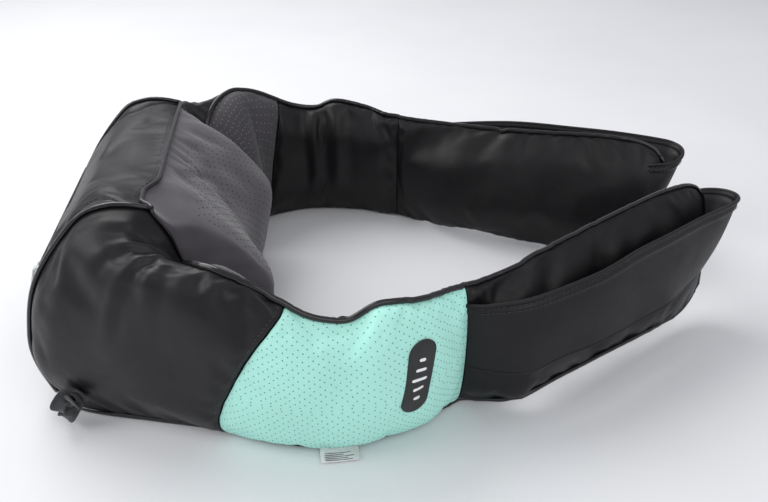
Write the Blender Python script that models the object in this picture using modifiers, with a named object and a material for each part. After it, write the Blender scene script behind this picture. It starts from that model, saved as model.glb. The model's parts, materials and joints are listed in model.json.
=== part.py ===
"""Shiatsu neck massager: a padded pillow with a twin-head kneading drive and two hinged arms.

Metres, +Z up. The pillow is at -X, the arms curve round to +X and their tips almost meet.
The object stands on its lower edge: the underside of the pillow is the plane Z = 0.
"""

import math

import bmesh
import bpy
from mathutils import Vector

MM = 0.001
GAP = 0.4  # clearance between touching pieces, mm

# Pillow, mm. Profiles are (x, z) points of the outer skin.
COVER_HALF_WIDTH = 104.0
COVER_THICKNESS = 3.0
FRONT_PROFILE = ((-137, 5), (-127, 40), (-117, 80), (-126, 104), (-143, 125), (-166, 150), (-193, 172))
TOP_PROFILE = ((-199, 174.5), (-212, 177.5), (-228, 177.5), (-243, 172))
BACK_PROFILE = ((-251, 166), (-288, 120), (-305, 72), (-307.5, 40), (-300, 8))
VALLEY_DEPTH = 23.0
EDGE_ROLL_FROM, EDGE_ROLL = 86.0, 48.0
SOCKET_FACE = -310.0
BASE_BACK, BASE_FRONT, BASE_THICKNESS = -294.0, -141.0, 3.0
FOAM_OUTLINE = ((-240, 156), (-279, 115), (-297, 70), (-300, 40), (-289, 8), (-206, 8), (-242, 122))
FOAM_HALF_WIDTH = 92.0

# Drive, mm, in its own frame: U forwards and up, V to the left, W up.
DRIVE_X, DRIVE_Z, DRIVE_TILT = -194.0, 80.0, 18.0
WHEEL_OFFSET = 50.0
WHEEL_TEETH, WORM_PITCH_RADIUS = 42, 8.0
MODULE = 2.0
WHEEL_PITCH_RADIUS = WHEEL_TEETH * MODULE / 2
WORM_PITCH = math.pi * MODULE
TOOTH_THICKNESS, ADDENDUM, DEDENDUM, FLANK = 2.6, 1.7, 2.2, math.radians(20)
WHEEL_HALF_WIDTH = 5.0
WORM_HALF_LENGTH = 18.0
AXLE_RADIUS = 4.0
BUSH_RADIUS = 7.0
HOUSING_RADIUS, HOUSING_WALL = 48.0, 3.0
HOUSING_BACK, HOUSING_FRONT = -22.0, 19.0
PLATE_THICKNESS = 3.0
MOTOR_RADIUS, MOTOR_TOP, MOTOR_BOTTOM = 16.0, -30.0, -66.0
ROTOR_BACK, ROTOR_FRONT, ROTOR_RADIUS = 25.5, 30.0, 36.0
HEAD_CIRCLE = 30.0
HEAD_SIZES = {"large": (17.0, 14.5), "small": (11.5, 10.0)}

# Arms, mm: x, y, half thickness, lowest and highest point, for the +Y side. The hinge lines are upright
# at these places in plan, and each pad thins to a web towards them.
SHOULDER_HINGE = (-135.0, 166.0)
STRAP_HINGE = (28.0, 154.0)
WEB_HALF = 0.8
END_CUSHION = (  # outer and inner point of each section, lowest and highest point
    (-303, 105.5, -139, 105.5, 0.6, 177), (-288, 125, -131, 119, 0.6, 174), (-247, 144, -127, 132, 0.6, 166),
    (-203, 160, -128, 144, 0.6, 158), (-165, 170, -132, 152, 0.6, 153), (-136.6, 166.8, -136, 165, 0.6, 149),
)
PILLOW_TOP = (  # height of the pillow's section, as a share of its full height, from back to front
    (-307, 0.22), (-305, 0.41), (-288, 0.68), (-251, 0.94), (-228, 1.0), (-199, 0.985), (-190, 0.85),
    (-180, 0.68), (-165, 0.48), (-150, 0.28), (-137, 0.05),
)
PILLOW_SHARE = (1.0, 0.8, 0.45, 0.15, 0.0, 0.0)  # how far each end cushion section follows the pillow's
SHOULDER_PAD = (
    (-133.8, 166.5, WEB_HALF, 0.6, 148), (-118, 177, 18, 0.6, 142), (-88, 185, 20, 0.6, 131),
    (-62, 185.5, 20, 0.6, 128), (-40, 182, 19.5, 0.6, 136), (-10, 173, 18, 0.6, 130), (12, 162, 14, 1.5, 125),
    (26.9, 154.4, WEB_HALF, 2, 124),
)
STRAP_PAD = (
    (29.1, 153.6, WEB_HALF, 2, 124), (42, 149, 12.5, 2, 124), (85, 131.5, 13.5, 3, 124),
    (150, 98, 13.5, 5, 126), (215, 67.5, 13, 7, 128), (268, 44, 12, 10, 128), (289, 34.5, 6, 22, 118),
)
STRAP_LEAN, LEAN_FROM, LEAN_TO, LEAN_HEIGHT = 0.35, 28.0, 85.0, 115.0  # both straps lean the same way, feet to -Y
HAND_BAND = (
    (44, 166.5, 1.2, 46, 108), (85, 164.5, 1.2, 52, 110), (135, 150, 1.2, 54, 114), (182, 127, 1.2, 54, 118),
    (247, 94, 1.2, 54, 120), (298, 67, 1.2, 54, 119), (308.5, 53, 1.2, 56, 117), (303, 40, 1.2, 58, 112),
    (291, 32, 1.2, 60, 106),
)
SIDE_PANEL_START, SIDE_PANEL_END, SIDE_PANEL_HALF, SIDE_PANEL_GAP = 0.15, 0.85, 1.5, 1.2
SIDE_PANEL_LOW, SIDE_PANEL_HIGH = 14.0, 118.0
BADGE_AT, BADGE_HALF_LENGTH, BADGE_HALF_WIDTH = 0.66, 31.0, 10.0
PANEL_HALF_LENGTH, PANEL_HALF_WIDTH, PANEL_THICKNESS = 48.0, 12.0, 5.0
BUTTON_RADIUS, BUTTON_SPACING, BUTTON_TRAVEL = 7.5, 22.0, 1.0
BUTTON_NAMES = ("power_button", "heat_button", "direction_button", "speed_button")

ZIP_FACE, ZIP_HEIGHT, ZIP_HALF_LENGTH, ZIP_SLOPE = -294.4, 110.0, 84.0, 19.5
SIDES = {"left": 1, "right": -1}

COLOURS = {
    "black_leather": ((0.022, 0.021, 0.023), 0.36, 0.0),
    "grey_mesh": ((0.075, 0.07, 0.075), 0.85, 0.0),
    "mint_leather": ((0.30, 0.83, 0.70), 0.5, 0.0),
    "foam": ((0.62, 0.60, 0.55), 0.95, 0.0),
    "housing_plastic": ((0.10, 0.10, 0.11), 0.5, 0.0),
    "white_plastic": ((0.78, 0.78, 0.76), 0.42, 0.0),
    "steel": ((0.56, 0.57, 0.58), 0.28, 1.0),
    "bronze": ((0.55, 0.36, 0.16), 0.35, 1.0),
    "nylon": ((0.86, 0.84, 0.76), 0.45, 0.0),
    "head_silicone": ((0.20, 0.045, 0.04), 0.5, 0.0),
    "lens": ((0.75, 0.06, 0.03), 0.15, 0.0),
    "board": ((0.02, 0.16, 0.07), 0.5, 0.0),
    "webbing": ((0.03, 0.03, 0.032), 0.85, 0.0),
    "label": ((0.85, 0.85, 0.83), 0.8, 0.0),
    "button_rubber": ((0.06, 0.06, 0.065), 0.55, 0.0),
}


def clear_scene():
    for obj in list(bpy.data.objects):
        bpy.data.objects.remove(obj)


def collection(name, shown=True):
    made = bpy.data.collections.new(name)
    made.hide_render = not shown
    bpy.context.scene.collection.children.link(made)
    return made


def material(name):
    made = bpy.data.materials.get(name)
    if made:
        return made
    colour, roughness, metallic = COLOURS[name]
    made = bpy.data.materials.new(name)
    made.use_nodes = True
    shader = made.node_tree.nodes["Principled BSDF"]
    shader.inputs["Base Color"].default_value = (*colour, 1)
    shader.inputs["Roughness"].default_value = roughness
    shader.inputs["Metallic"].default_value = metallic
    return made


def add(name, mesh, colour, parent=None, location=(0, 0, 0), rotation=(0, 0, 0), smooth=35):
    """A new object from a mesh whose coordinates are in millimetres."""
    mesh.transform(((MM, 0, 0, 0), (0, MM, 0, 0), (0, 0, MM, 0), (0, 0, 0, 1)))
    obj = bpy.data.objects.new(name, mesh)
    PARTS.objects.link(obj)
    obj.parent = parent
    obj.location = Vector(location) * MM
    obj.rotation_euler = rotation
    if colour:
        mesh.materials.append(material(colour))
    if smooth:
        mesh.shade_smooth()
        mesh.set_sharp_from_angle(angle=math.radians(smooth))
    return obj


def as_mesh(bm, name):
    bmesh.ops.recalc_face_normals(bm, faces=bm.faces)
    mesh = bpy.data.meshes.new(name)
    bm.to_mesh(mesh)
    bm.free()
    return mesh


def box(name, low, high, colour, bevel=0.0, **place):
    """A box between two corners, its edges rounded by a bevel."""
    bm = bmesh.new()
    bmesh.ops.create_cube(bm, size=1)
    low, high = Vector(low), Vector(high)
    for vert in bm.verts:
        vert.co = (low + high) / 2 + Vector(a * b for a, b in zip(vert.co, high - low))
    obj = add(name, as_mesh(bm, name), colour, **place)
    if bevel:
        edge = obj.modifiers.new("rounded_edges", "BEVEL")
        edge.width = bevel * MM
        edge.segments = 2
    return obj


def turned(name, profile, colour, segments=16, **place):
    """A solid of revolution about local Z from (radius, height) points listed top to bottom."""
    bm = bmesh.new()
    points = [bm.verts.new((radius, 0, height)) for radius, height in profile]
    for a, b in zip(points, points[1:]):
        bm.edges.new((a, b))
    mesh = bpy.data.meshes.new(name)
    bm.to_mesh(mesh)
    bm.free()
    obj = add(name, mesh, colour, smooth=0, **place)
    screw = obj.modifiers.new("turning", "SCREW")
    screw.steps = screw.render_steps = segments
    screw.use_merge_vertices = True
    screw.merge_threshold = 0.00001
    return obj


def rod(name, radius, low, high, colour, segments=16, **place):
    return turned(name, ((0, high), (radius, high), (radius, low), (0, low)), colour, segments, **place)


def ring(name, inner, outer, low, high, colour, segments=16, **place):
    """A bush: its closed profile starts and ends at the same corner."""
    corners = ((inner, high), (outer, high), (outer, low), (inner, low), (inner, high))
    return turned(name, corners, colour, segments, **place)


def prism(name, outline, low, high, colour, plane="UV", **place):
    """A flat outline pulled into a solid: along Z, or with outline points (x, z) along Y."""
    bm = bmesh.new()
    lift = (lambda a, b, h: (a, h, b)) if plane == "XZ" else (lambda a, b, h: (h, a, b))
    face = bm.faces.new([bm.verts.new(lift(a, b, low)) for a, b in outline])
    pulled = bmesh.ops.extrude_face_region(bm, geom=[face])
    verts = [v for v in pulled["geom"] if isinstance(v, bmesh.types.BMVert)]
    bmesh.ops.translate(bm, verts=verts, vec=lift(0, 0, high - low))
    return add(name, as_mesh(bm, name), colour, **place)


def cut(obj, tool, operation="DIFFERENCE"):
    """Cuts a hidden tool out of a piece, or joins it on."""
    CUTTERS.objects.link(tool)
    PARTS.objects.unlink(tool)
    tool.hide_render = True
    tool.display_type = "WIRE"
    boolean = obj.modifiers.new(operation.lower(), "BOOLEAN")
    boolean.operation = operation
    boolean.object = tool
    boolean.solver = "EXACT"


def curve_through(points, steps):
    """Points on a Catmull-Rom curve through the given ones, steps to each span, in any number of values."""
    ends = [[2 * a - b for a, b in zip(points[0], points[1])]]
    tail = [[2 * a - b for a, b in zip(points[-1], points[-2])]]
    full = ends + [list(p) for p in points] + tail
    made = []
    for i in range(1, len(full) - 2):
        for step in range(steps):
            t = step / steps
            made.append([
                0.5 * (2 * b + (c - a) * t + (2 * a - 5 * b + 4 * c - d) * t * t + (3 * b - a - 3 * c + d) * t**3)
                for a, b, c, d in zip(*full[i - 1:i + 3])
            ])
    return made + [list(points[-1])]


def headings(path):
    """Unit tangents in plan at each station of a path."""
    found = []
    for i in range(len(path)):
        a, b = path[max(i - 1, 0)], path[min(i + 1, len(path) - 1)]
        found.append(Vector((b[0] - a[0], b[1] - a[1])).normalized())
    return found


def sections_of(stations):
    """The outer and inner point of the upright section at each station of a pad's path."""
    made = []
    for (x, y, half, low, high), tangent in zip(stations, headings(stations)):
        out_x, out_y = -tangent.y * half, tangent.x * half
        made.append((x + out_x, y + out_y, x - out_x, y - out_y, low, high))
    return made


def between(table, at):
    """The value at a place along a table of (place, value) rows in rising order."""
    if at <= table[0][0]:
        return table[0][1]
    for (a, low), (b, high) in zip(table, table[1:]):
        if at <= b:
            return low + (high - low) * (at - a) / (b - a)
    return table[-1][1]


def lean(x, z):
    """How far a strap's point is moved along Y by the strap's lean."""
    share = min(1, max(0, (x - LEAN_FROM) / (LEAN_TO - LEAN_FROM)))
    return STRAP_LEAN * share * share * (3 - 2 * share) * (z - LEAN_HEIGHT)


def loft(name, sections, side, colour, sides=14, roundness=3.2, shares=None):
    """A pad through upright superellipse sections, each between an outer and an inner point."""
    bm = bmesh.new()
    rings = []
    for number, (outer_x, outer_y, inner_x, inner_y, low, high) in enumerate(sections):
        share = shares[number] if shares else 0
        ring_verts = []
        for i in range(sides):
            angle = math.tau * (i + 0.5) / sides
            c, s = math.cos(angle), math.sin(angle)
            across = 0.5 + 0.5 * math.copysign(abs(c) ** (2 / roundness), c)
            up = math.copysign(abs(s) ** (2 / roundness), s)
            x = inner_x + (outer_x - inner_x) * across
            y = inner_y + (outer_y - inner_y) * across
            tall = (high - low) * (1 + share * (between(PILLOW_TOP, x) - 1))
            z = low + tall * (0.5 + 0.5 * up)
            ring_verts.append(bm.verts.new((x, side * y + lean(x, z), z)))
        rings.append(ring_verts)
    for a, b in zip(rings, rings[1:]):
        for i in range(sides):
            j = (i + 1) % sides
            bm.faces.new((a[i], a[j], b[j], b[i]))
    bm.faces.new(rings[0])
    bm.faces.new(rings[-1])
    return add(name, as_mesh(bm, name), colour)


def hinge_frame(name, place, side):
    """An empty on an upright hinge line."""
    frame = bpy.data.objects.new(name, None)
    PARTS.objects.link(frame)
    frame.location = Vector((place[0], side * place[1], 0)) * MM
    return frame


def hang(obj, frame):
    """Gives a piece modelled in world coordinates a parent on its joint's axis."""
    obj.parent = frame
    obj.location -= frame.location
    return obj


def along(path, share):
    """The station a given share of the way along a path, and the tangent there."""
    position = share * (len(path) - 1)
    i = min(int(position), len(path) - 2)
    t = position - i
    station = [a + (b - a) * t for a, b in zip(path[i], path[i + 1])]
    return station, headings(path)[i + (t > 0.5)]


def on_arm(name, path, share, height, lean, side, shoulder):
    """An empty on the outer face of a side panel: local X along the arm, Y outwards, Z up."""
    (x, y, half, _, _), tangent = along(path, share)
    out = half + SIDE_PANEL_GAP + 2 * SIDE_PANEL_HALF + 1.5
    frame = bpy.data.objects.new(name, None)
    PARTS.objects.link(frame)
    frame.location = Vector((x - tangent.y * out, side * (y + tangent.x * out), height)) * MM
    outwards = math.atan2(side * tangent.x, -tangent.y)
    frame.rotation_euler = (0, math.radians(lean), outwards - math.pi / 2)
    return hang(frame, shoulder)


def skin(name, profile, colour, steps=3, rows=12, shape=lambda y, z: 0.0):
    """A cover panel: a profile swept across the pillow, moved back by shape(y, z), with a wall inwards."""
    curve = curve_through(profile, steps)
    bm = bmesh.new()
    grid = []
    for row in range(rows + 1):
        y = COVER_HALF_WIDTH * (2 * row / rows - 1)
        grid.append([bm.verts.new((x - shape(y, z), y, z)) for x, z in curve])
    for a, b in zip(grid, grid[1:]):
        for i in range(len(curve) - 1):
            bm.faces.new((a[i], b[i], b[i + 1], a[i + 1]))
    mesh = bpy.data.meshes.new(name)
    bm.to_mesh(mesh)
    bm.free()
    obj = add(name, mesh, colour)
    wall = obj.modifiers.new("wall", "SOLIDIFY")
    wall.thickness = COVER_THICKNESS * MM
    wall.offset = -1
    return obj


def lobes(y, z):
    """How far the front stands back from the lobes' noses: a valley in the middle, rolled edges."""
    valley = VALLEY_DEPTH * 0.5 * (1 + math.cos(math.pi * min(abs(y) / 84, 1))) * min(1, z / 75)
    fade = min(1, max(0, (176 - z) / 70))
    rolled = max(0, (abs(y) - EDGE_ROLL_FROM) / (COVER_HALF_WIDTH - EDGE_ROLL_FROM)) ** 2.2
    edge = EDGE_ROLL * rolled * max(0, math.sin(math.pi * min(1, max(0, (z - 5) / 170))))
    return valley * fade + edge


def make_covers():
    skin("mesh_cover", FRONT_PROFILE, "grey_mesh", steps=2, rows=14, shape=lobes)
    skin("top_cover", TOP_PROFILE, "black_leather", steps=1, rows=6)
    back = skin("back_cover", BACK_PROFILE, "black_leather", steps=2, rows=6)
    box("bottom_cover", (BASE_BACK, -COVER_HALF_WIDTH, 0), (BASE_FRONT, COVER_HALF_WIDTH, BASE_THICKNESS),
        "black_leather", smooth=0)
    foam = prism("back_foam", FOAM_OUTLINE, -FOAM_HALF_WIDTH, FOAM_HALF_WIDTH, "foam", plane="XZ", smooth=0)
    for side, sign in SIDES.items():
        shares = [max(0, share) for share, in curve_through([(s,) for s in PILLOW_SHARE], 2)]
        loft(f"{side}_end_cushion", curve_through(END_CUSHION, 2), sign, "black_leather", sides=24, roundness=4.5,
             shares=shares)
    make_socket(back, foam)
    make_zip()


def make_socket(back, foam):
    """The low-voltage inlet low on the back panel; its flange lies flat on the cover."""
    y, z, bore, body, flange, depth = 68.0, 42.0, 3.0, 5.5, 8.0, 14.0
    turn = {"location": (SOCKET_FACE, y, z), "rotation": (0, math.radians(-90), 0)}
    cut(back, rod("socket_hole", body + GAP, -12, 5, None, **turn))
    cut(foam, rod("socket_relief", body + 2, -depth - 2, 5, None, **turn))
    contact_pin = ((0, -3), (0.9, -3), (0.9, 3 - depth), (bore, 3 - depth), (bore, 0))
    outside = ((flange, 0), (flange, -1.8), (body, -1.8), (body, -depth), (0, -depth))
    turned("power_socket", contact_pin + outside, "white_plastic", 16, **turn)


def make_zip():
    """The zip across the back panel: a tape, a slider that runs along it and a pull that hangs from its eye."""
    tape = bpy.data.objects.new("zip_frame", None)
    PARTS.objects.link(tape)
    tape.location = Vector((ZIP_FACE, 0, ZIP_HEIGHT)) * MM
    tape.rotation_euler = (0, math.radians(ZIP_SLOPE), 0)
    start, tape_face, eye = -ZIP_HALF_LENGTH + 8, -1.2, -5.5
    box("zip_tape", (tape_face, -ZIP_HALF_LENGTH, -11), (0, ZIP_HALF_LENGTH, 11), "webbing", smooth=0, parent=tape)
    box("zip_slider", (-4.4, -5, -4), (tape_face - GAP, 5, 4), "steel", bevel=0.6, parent=tape,
        location=(0, start, 0))
    box("zip_pull", (-0.7, -3, -26), (0.7, 3, 0.5), "steel", bevel=0.3, parent=tape, location=(eye, start, 0))


def drive_frame():
    """An empty at the centre of the drive: local X is U, forwards and up."""
    frame = bpy.data.objects.new("drive_frame", None)
    PARTS.objects.link(frame)
    frame.location = Vector((DRIVE_X, 0, DRIVE_Z)) * MM
    frame.rotation_euler = (0, math.radians(-DRIVE_TILT), 0)
    return frame


def stadium(radius, half=WHEEL_OFFSET, arc=12):
    """A long round-ended outline in V and W."""
    points = []
    for sign, start in ((1, -90), (-1, 90)):
        for i in range(arc + 1):
            angle = math.radians(start + 180 * i / arc)
            points.append((sign * half + radius * math.cos(angle), radius * math.sin(angle)))
    return points


def facing_u(v=0.0, w=0.0, u=0.0):
    """Turns a piece made about local Z so that its axis runs along U."""
    return {"location": (u, v, w), "rotation": (0, math.radians(90), 0)}


def make_housing(drive):
    inner = HOUSING_RADIUS - HOUSING_WALL
    cup = MOTOR_RADIUS + 0.8
    back = prism("rear_housing", stadium(HOUSING_RADIUS), HOUSING_BACK, HOUSING_FRONT, "housing_plastic",
                 parent=drive)
    cut(back, box("motor_cup", (HOUSING_BACK + 2, -cup - HOUSING_WALL, MOTOR_BOTTOM - 5),
                  (HOUSING_FRONT, cup + HOUSING_WALL, -40), None, smooth=0, parent=drive), "UNION")
    cut(back, prism("gear_space", stadium(inner), HOUSING_BACK + HOUSING_WALL, HOUSING_FRONT + 5, None,
                    parent=drive))
    cut(back, box("motor_space", (-cup, -cup, MOTOR_BOTTOM - 2), (HOUSING_FRONT + 5, cup, -38), None,
                  smooth=0, parent=drive))
    plate = prism("front_plate", stadium(HOUSING_RADIUS), HOUSING_FRONT + GAP,
                  HOUSING_FRONT + GAP + PLATE_THICKNESS, "housing_plastic", parent=drive)
    for side, sign in SIDES.items():
        v = sign * WHEEL_OFFSET
        hole = BUSH_RADIUS + GAP
        cut(back, rod(f"{side}_rear_hole", hole, HOUSING_BACK - 5, HOUSING_BACK + 8, None, parent=drive,
                      **facing_u(v)))
        cut(plate, rod(f"{side}_front_hole", hole, HOUSING_FRONT - 5, HOUSING_FRONT + 9, None, parent=drive,
                       **facing_u(v)))
        ring(f"{side}_rear_bush", AXLE_RADIUS + GAP, BUSH_RADIUS, HOUSING_BACK, HOUSING_BACK + 6, "bronze",
             parent=drive, **facing_u(v))
        ring(f"{side}_front_bush", AXLE_RADIUS + GAP, BUSH_RADIUS, HOUSING_FRONT - 3, HOUSING_FRONT + 3,
             "bronze", parent=drive, **facing_u(v))
    make_screws(drive)
    make_board(drive)


def make_screws(drive):
    """Pan-head screws that hold the front plate, their heads seated on its face."""
    top = HOUSING_FRONT + 2 * GAP + PLATE_THICKNESS
    for side, sign in SIDES.items():
        for level, up in (("upper", 1), ("lower", -1)):
            turned(f"{side}_{level}_screw", ((0, top + 2.2), (2.2, top + 2), (3.4, top + 0.8), (3.4, top), (0, top)),
                   "steel", 12, parent=drive, **facing_u(sign * 24, up * 40))


def make_board(drive):
    """The control board, carried behind the rear housing."""
    box("circuit_board", (HOUSING_BACK - 6, -34, -26), (HOUSING_BACK - 4.4, 34, 30), "board", smooth=0,
        parent=drive)


def make_motor(drive):
    turned("motor_can", ((0, MOTOR_TOP), (5, MOTOR_TOP), (5, MOTOR_TOP - 2), (MOTOR_RADIUS, MOTOR_TOP - 2),
                         (MOTOR_RADIUS, MOTOR_BOTTOM + 5), (0, MOTOR_BOTTOM + 5)), "steel", 28, parent=drive)
    turned("motor_end_cap", ((0, MOTOR_BOTTOM + 5 - GAP), (MOTOR_RADIUS, MOTOR_BOTTOM + 5 - GAP),
                             (MOTOR_RADIUS - 0.8, MOTOR_BOTTOM), (0, MOTOR_BOTTOM)), "housing_plastic", 28,
           parent=drive)
    ring("worm_bush", 3 + GAP, 6, 33, 39, "bronze", parent=drive)


def make_worm(drive):
    """A single-start right-hand worm on its shaft; its crest faces +V where W = 0."""
    low, high, core = MOTOR_TOP + GAP, 42.0, WORM_PITCH_RADIUS - DEDENDUM
    shaft = turned("worm_shaft", ((0, high), (3, high), (3, 21), (core, 21), (core, -21), (3, -21), (3, low),
                                  (0, low)), "steel", 20, parent=drive)
    per_turn = 14
    turns = 2 * WORM_HALF_LENGTH / WORM_PITCH
    count = round(turns * per_turn)
    bm = bmesh.new()
    rings = []
    root, tip = core - 0.6, WORM_PITCH_RADIUS + ADDENDUM
    for i in range(count + 1):
        height = WORM_HALF_LENGTH * (2 * i / count - 1)
        angle = math.tau * height / WORM_PITCH + math.pi / 2
        corners = []
        for radius, side in ((root, -1), (tip, -1), (tip, 1), (root, 1)):
            half = TOOTH_THICKNESS / 2 - (radius - WORM_PITCH_RADIUS) * math.tan(FLANK)
            corners.append(bm.verts.new((radius * math.cos(angle), radius * math.sin(angle), height + side * half)))
        rings.append(corners)
    for a, b in zip(rings, rings[1:]):
        for j in range(4):
            k = (j + 1) % 4
            bm.faces.new((a[j], a[k], b[k], b[j]))
    bm.faces.new(rings[0])
    bm.faces.new(rings[-1])
    cut(shaft, add("worm_thread", as_mesh(bm, "worm_thread"), None, smooth=0, parent=drive), "UNION")


def wheel_outline(first_tooth):
    """Radius and angle of the teeth's corners, four to a tooth."""
    points = []
    for tooth in range(WHEEL_TEETH):
        centre = math.tau * (tooth + first_tooth) / WHEEL_TEETH
        for rise, side in ((-DEDENDUM, -1), (ADDENDUM, -1), (ADDENDUM, 1), (-DEDENDUM, 1)):
            radius = WHEEL_PITCH_RADIUS + rise
            half = (TOOTH_THICKNESS / 2 - rise * math.tan(FLANK)) / radius
            points.append((radius, centre + side * half))
    return points


def make_wheel(side, sign, axis):
    """A helical worm wheel about U; each side's teeth are placed so that they mesh at rest."""
    outline = wheel_outline(0.5 if sign > 0 else 0.0)
    bm = bmesh.new()
    rings = []
    for level in (-1, 0, 1):
        u = level * WHEEL_HALF_WIDTH
        twist = u / (WORM_PITCH_RADIUS * WHEEL_PITCH_RADIUS)
        rings.append([bm.verts.new((u, r * math.cos(a + twist), r * math.sin(a + twist))) for r, a in outline])
    for a, b in zip(rings, rings[1:]):
        for i in range(len(outline)):
            j = (i + 1) % len(outline)
            bm.faces.new((a[i], a[j], b[j], b[i]))
    bm.faces.new(rings[0])
    bm.faces.new(rings[-1])
    wheel = add(f"{side}_worm_wheel", as_mesh(bm, f"{side}_worm_wheel"), "nylon", parent=axis)
    cut(wheel, rod(f"{side}_wheel_bore", AXLE_RADIUS + GAP, -20, 20, None, parent=axis, **facing_u()))


def dome(radius, height, steps=5):
    """A massage head's profile: a rounded crown on a short straight foot."""
    crown = []
    for i in range(steps + 1):
        angle = math.pi / 2 * i / steps
        crown.append((radius * math.sin(angle), 3 + (height - 3) * math.cos(angle)))
    return (*crown, (radius, 0), (0, 0))


def make_rotor(side, sign, drive):
    """What turns with one worm wheel: axle, carrier plate, four heads and the heat lens."""
    axis = bpy.data.objects.new(f"{side}_rotor_frame", None)
    PARTS.objects.link(axis)
    axis.parent = drive
    axis.location = (0, sign * WHEEL_OFFSET * MM, 0)
    make_wheel(side, sign, axis)
    rod(f"{side}_axle", AXLE_RADIUS, HOUSING_BACK, ROTOR_FRONT + 4, "steel", parent=axis, **facing_u())
    ring(f"{side}_rotor_plate", AXLE_RADIUS + GAP, ROTOR_RADIUS, ROTOR_BACK, ROTOR_FRONT, "white_plastic",
         segments=32, parent=axis, **facing_u())
    for size, first in (("large", 0), ("small", 90)):
        radius, height = HEAD_SIZES[size]
        for number, turn in ((1, first), (2, first + 180)):
            angle = math.radians(turn)
            turned(f"{side}_{size}_head_{number}", dome(radius, height), "head_silicone", 14, parent=axis,
                   **facing_u(HEAD_CIRCLE * math.cos(angle), HEAD_CIRCLE * math.sin(angle), ROTOR_FRONT + GAP))
    profile = ((0, 6), (6, 5), (9, 2.5), (10, 0), (AXLE_RADIUS + 2 * GAP, 0), (AXLE_RADIUS + 2 * GAP, 4), (0, 4.5))
    turned(f"{side}_heat_lens", profile, "lens", 14, parent=axis, **facing_u(u=ROTOR_FRONT + GAP))


def make_arm(side, sign):
    """One arm: the shoulder part that hangs on the pillow and the strap that hangs on the shoulder."""
    shoulder = hinge_frame(f"{side}_shoulder_frame", SHOULDER_HINGE, sign)
    strap = hinge_frame(f"{side}_strap_frame", STRAP_HINGE, sign)
    pad = curve_through(SHOULDER_PAD, 2)
    hang(loft(f"{side}_shoulder_pad", sections_of(pad), sign, "black_leather"), shoulder)
    panel = []
    steps = 12
    for i in range(steps + 1):
        share = SIDE_PANEL_START + (SIDE_PANEL_END - SIDE_PANEL_START) * i / steps
        (x, y, half, _, _), tangent = along(pad, share)
        out = half + SIDE_PANEL_GAP + SIDE_PANEL_HALF
        panel.append((x - tangent.y * out, y + tangent.x * out, SIDE_PANEL_HALF, SIDE_PANEL_LOW, SIDE_PANEL_HIGH))
    hang(loft(f"{side}_side_panel", sections_of(panel), sign, "mint_leather", sides=8, roundness=6), shoulder)
    hang(loft(f"{side}_strap_pad", sections_of(curve_through(STRAP_PAD, 2)), sign, "black_leather"), strap)
    band = sections_of(curve_through(HAND_BAND, 2))
    hang(loft(f"{side}_hand_band", band, sign, "black_leather", sides=8, roundness=6), strap)
    return pad, shoulder


def make_badge(pad, shoulder):
    """The plain capsule badge on the right arm."""
    frame = on_arm("badge_frame", pad, BADGE_AT, 74, -8, -1, shoulder)
    box("badge", (-BADGE_HALF_WIDTH, 0, -BADGE_HALF_LENGTH), (BADGE_HALF_WIDTH, 2, BADGE_HALF_LENGTH),
        "button_rubber", smooth=0, parent=frame)


def make_controls(pad, shoulder):
    """The control strip on the left arm with four round keys in recesses."""
    frame = on_arm("control_frame", pad, BADGE_AT, 62, 0, 1, shoulder)
    strip = box("control_panel", (-PANEL_HALF_WIDTH, 0, -PANEL_HALF_LENGTH),
                (PANEL_HALF_WIDTH, PANEL_THICKNESS, PANEL_HALF_LENGTH), "housing_plastic", smooth=0, parent=frame)
    for i, name in enumerate(BUTTON_NAMES):
        height = (1.5 - i) * BUTTON_SPACING
        place = {"parent": frame, "location": (0, 0, height), "rotation": (math.radians(-90), 0, 0)}
        cut(strip, rod(f"{name}_recess", BUTTON_RADIUS + 1, 1.5, 12, None, 20, **place))
        low, high = 1.5 + BUTTON_TRAVEL + GAP, PANEL_THICKNESS + 1.5
        turned(name, ((0, high), (BUTTON_RADIUS - 1, high), (BUTTON_RADIUS, high - 1), (BUTTON_RADIUS, low), (0, low)),
               "button_rubber", 20, **place)


def make_trim():
    """The gathered webbing loop at the pillow's corner and the care label under the right arm."""
    box("carry_loop", (-296, -151, 11), (-273, -136, 37), "webbing", bevel=2, smooth=0)
    return box("care_label", (-88, -208, 0.8), (-58, -195, 1.6), "label", smooth=0)


clear_scene()
PARTS = collection("shiatsu_neck_massager")
CUTTERS = collection("cutters", shown=False)
make_covers()
DRIVE = drive_frame()
make_housing(DRIVE)
make_motor(DRIVE)
make_worm(DRIVE)
for SIDE, SIGN in SIDES.items():
    make_rotor(SIDE, SIGN, DRIVE)
make_controls(*make_arm("left", 1))
RIGHT_PAD, RIGHT_SHOULDER = make_arm("right", -1)
make_badge(RIGHT_PAD, RIGHT_SHOULDER)
hang(make_trim(), RIGHT_SHOULDER)
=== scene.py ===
"""Shiatsu neck massager: sewn covers, cushions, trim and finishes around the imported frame.

Sizes are in millimetres until mesh_from() turns them into metres. +X runs from the pillow to the arms' tips,
+Y to the left arm, +Z up. A sewn body is a grid of points: columns along the body, rows round its section.
"""

import json
import math

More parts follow.
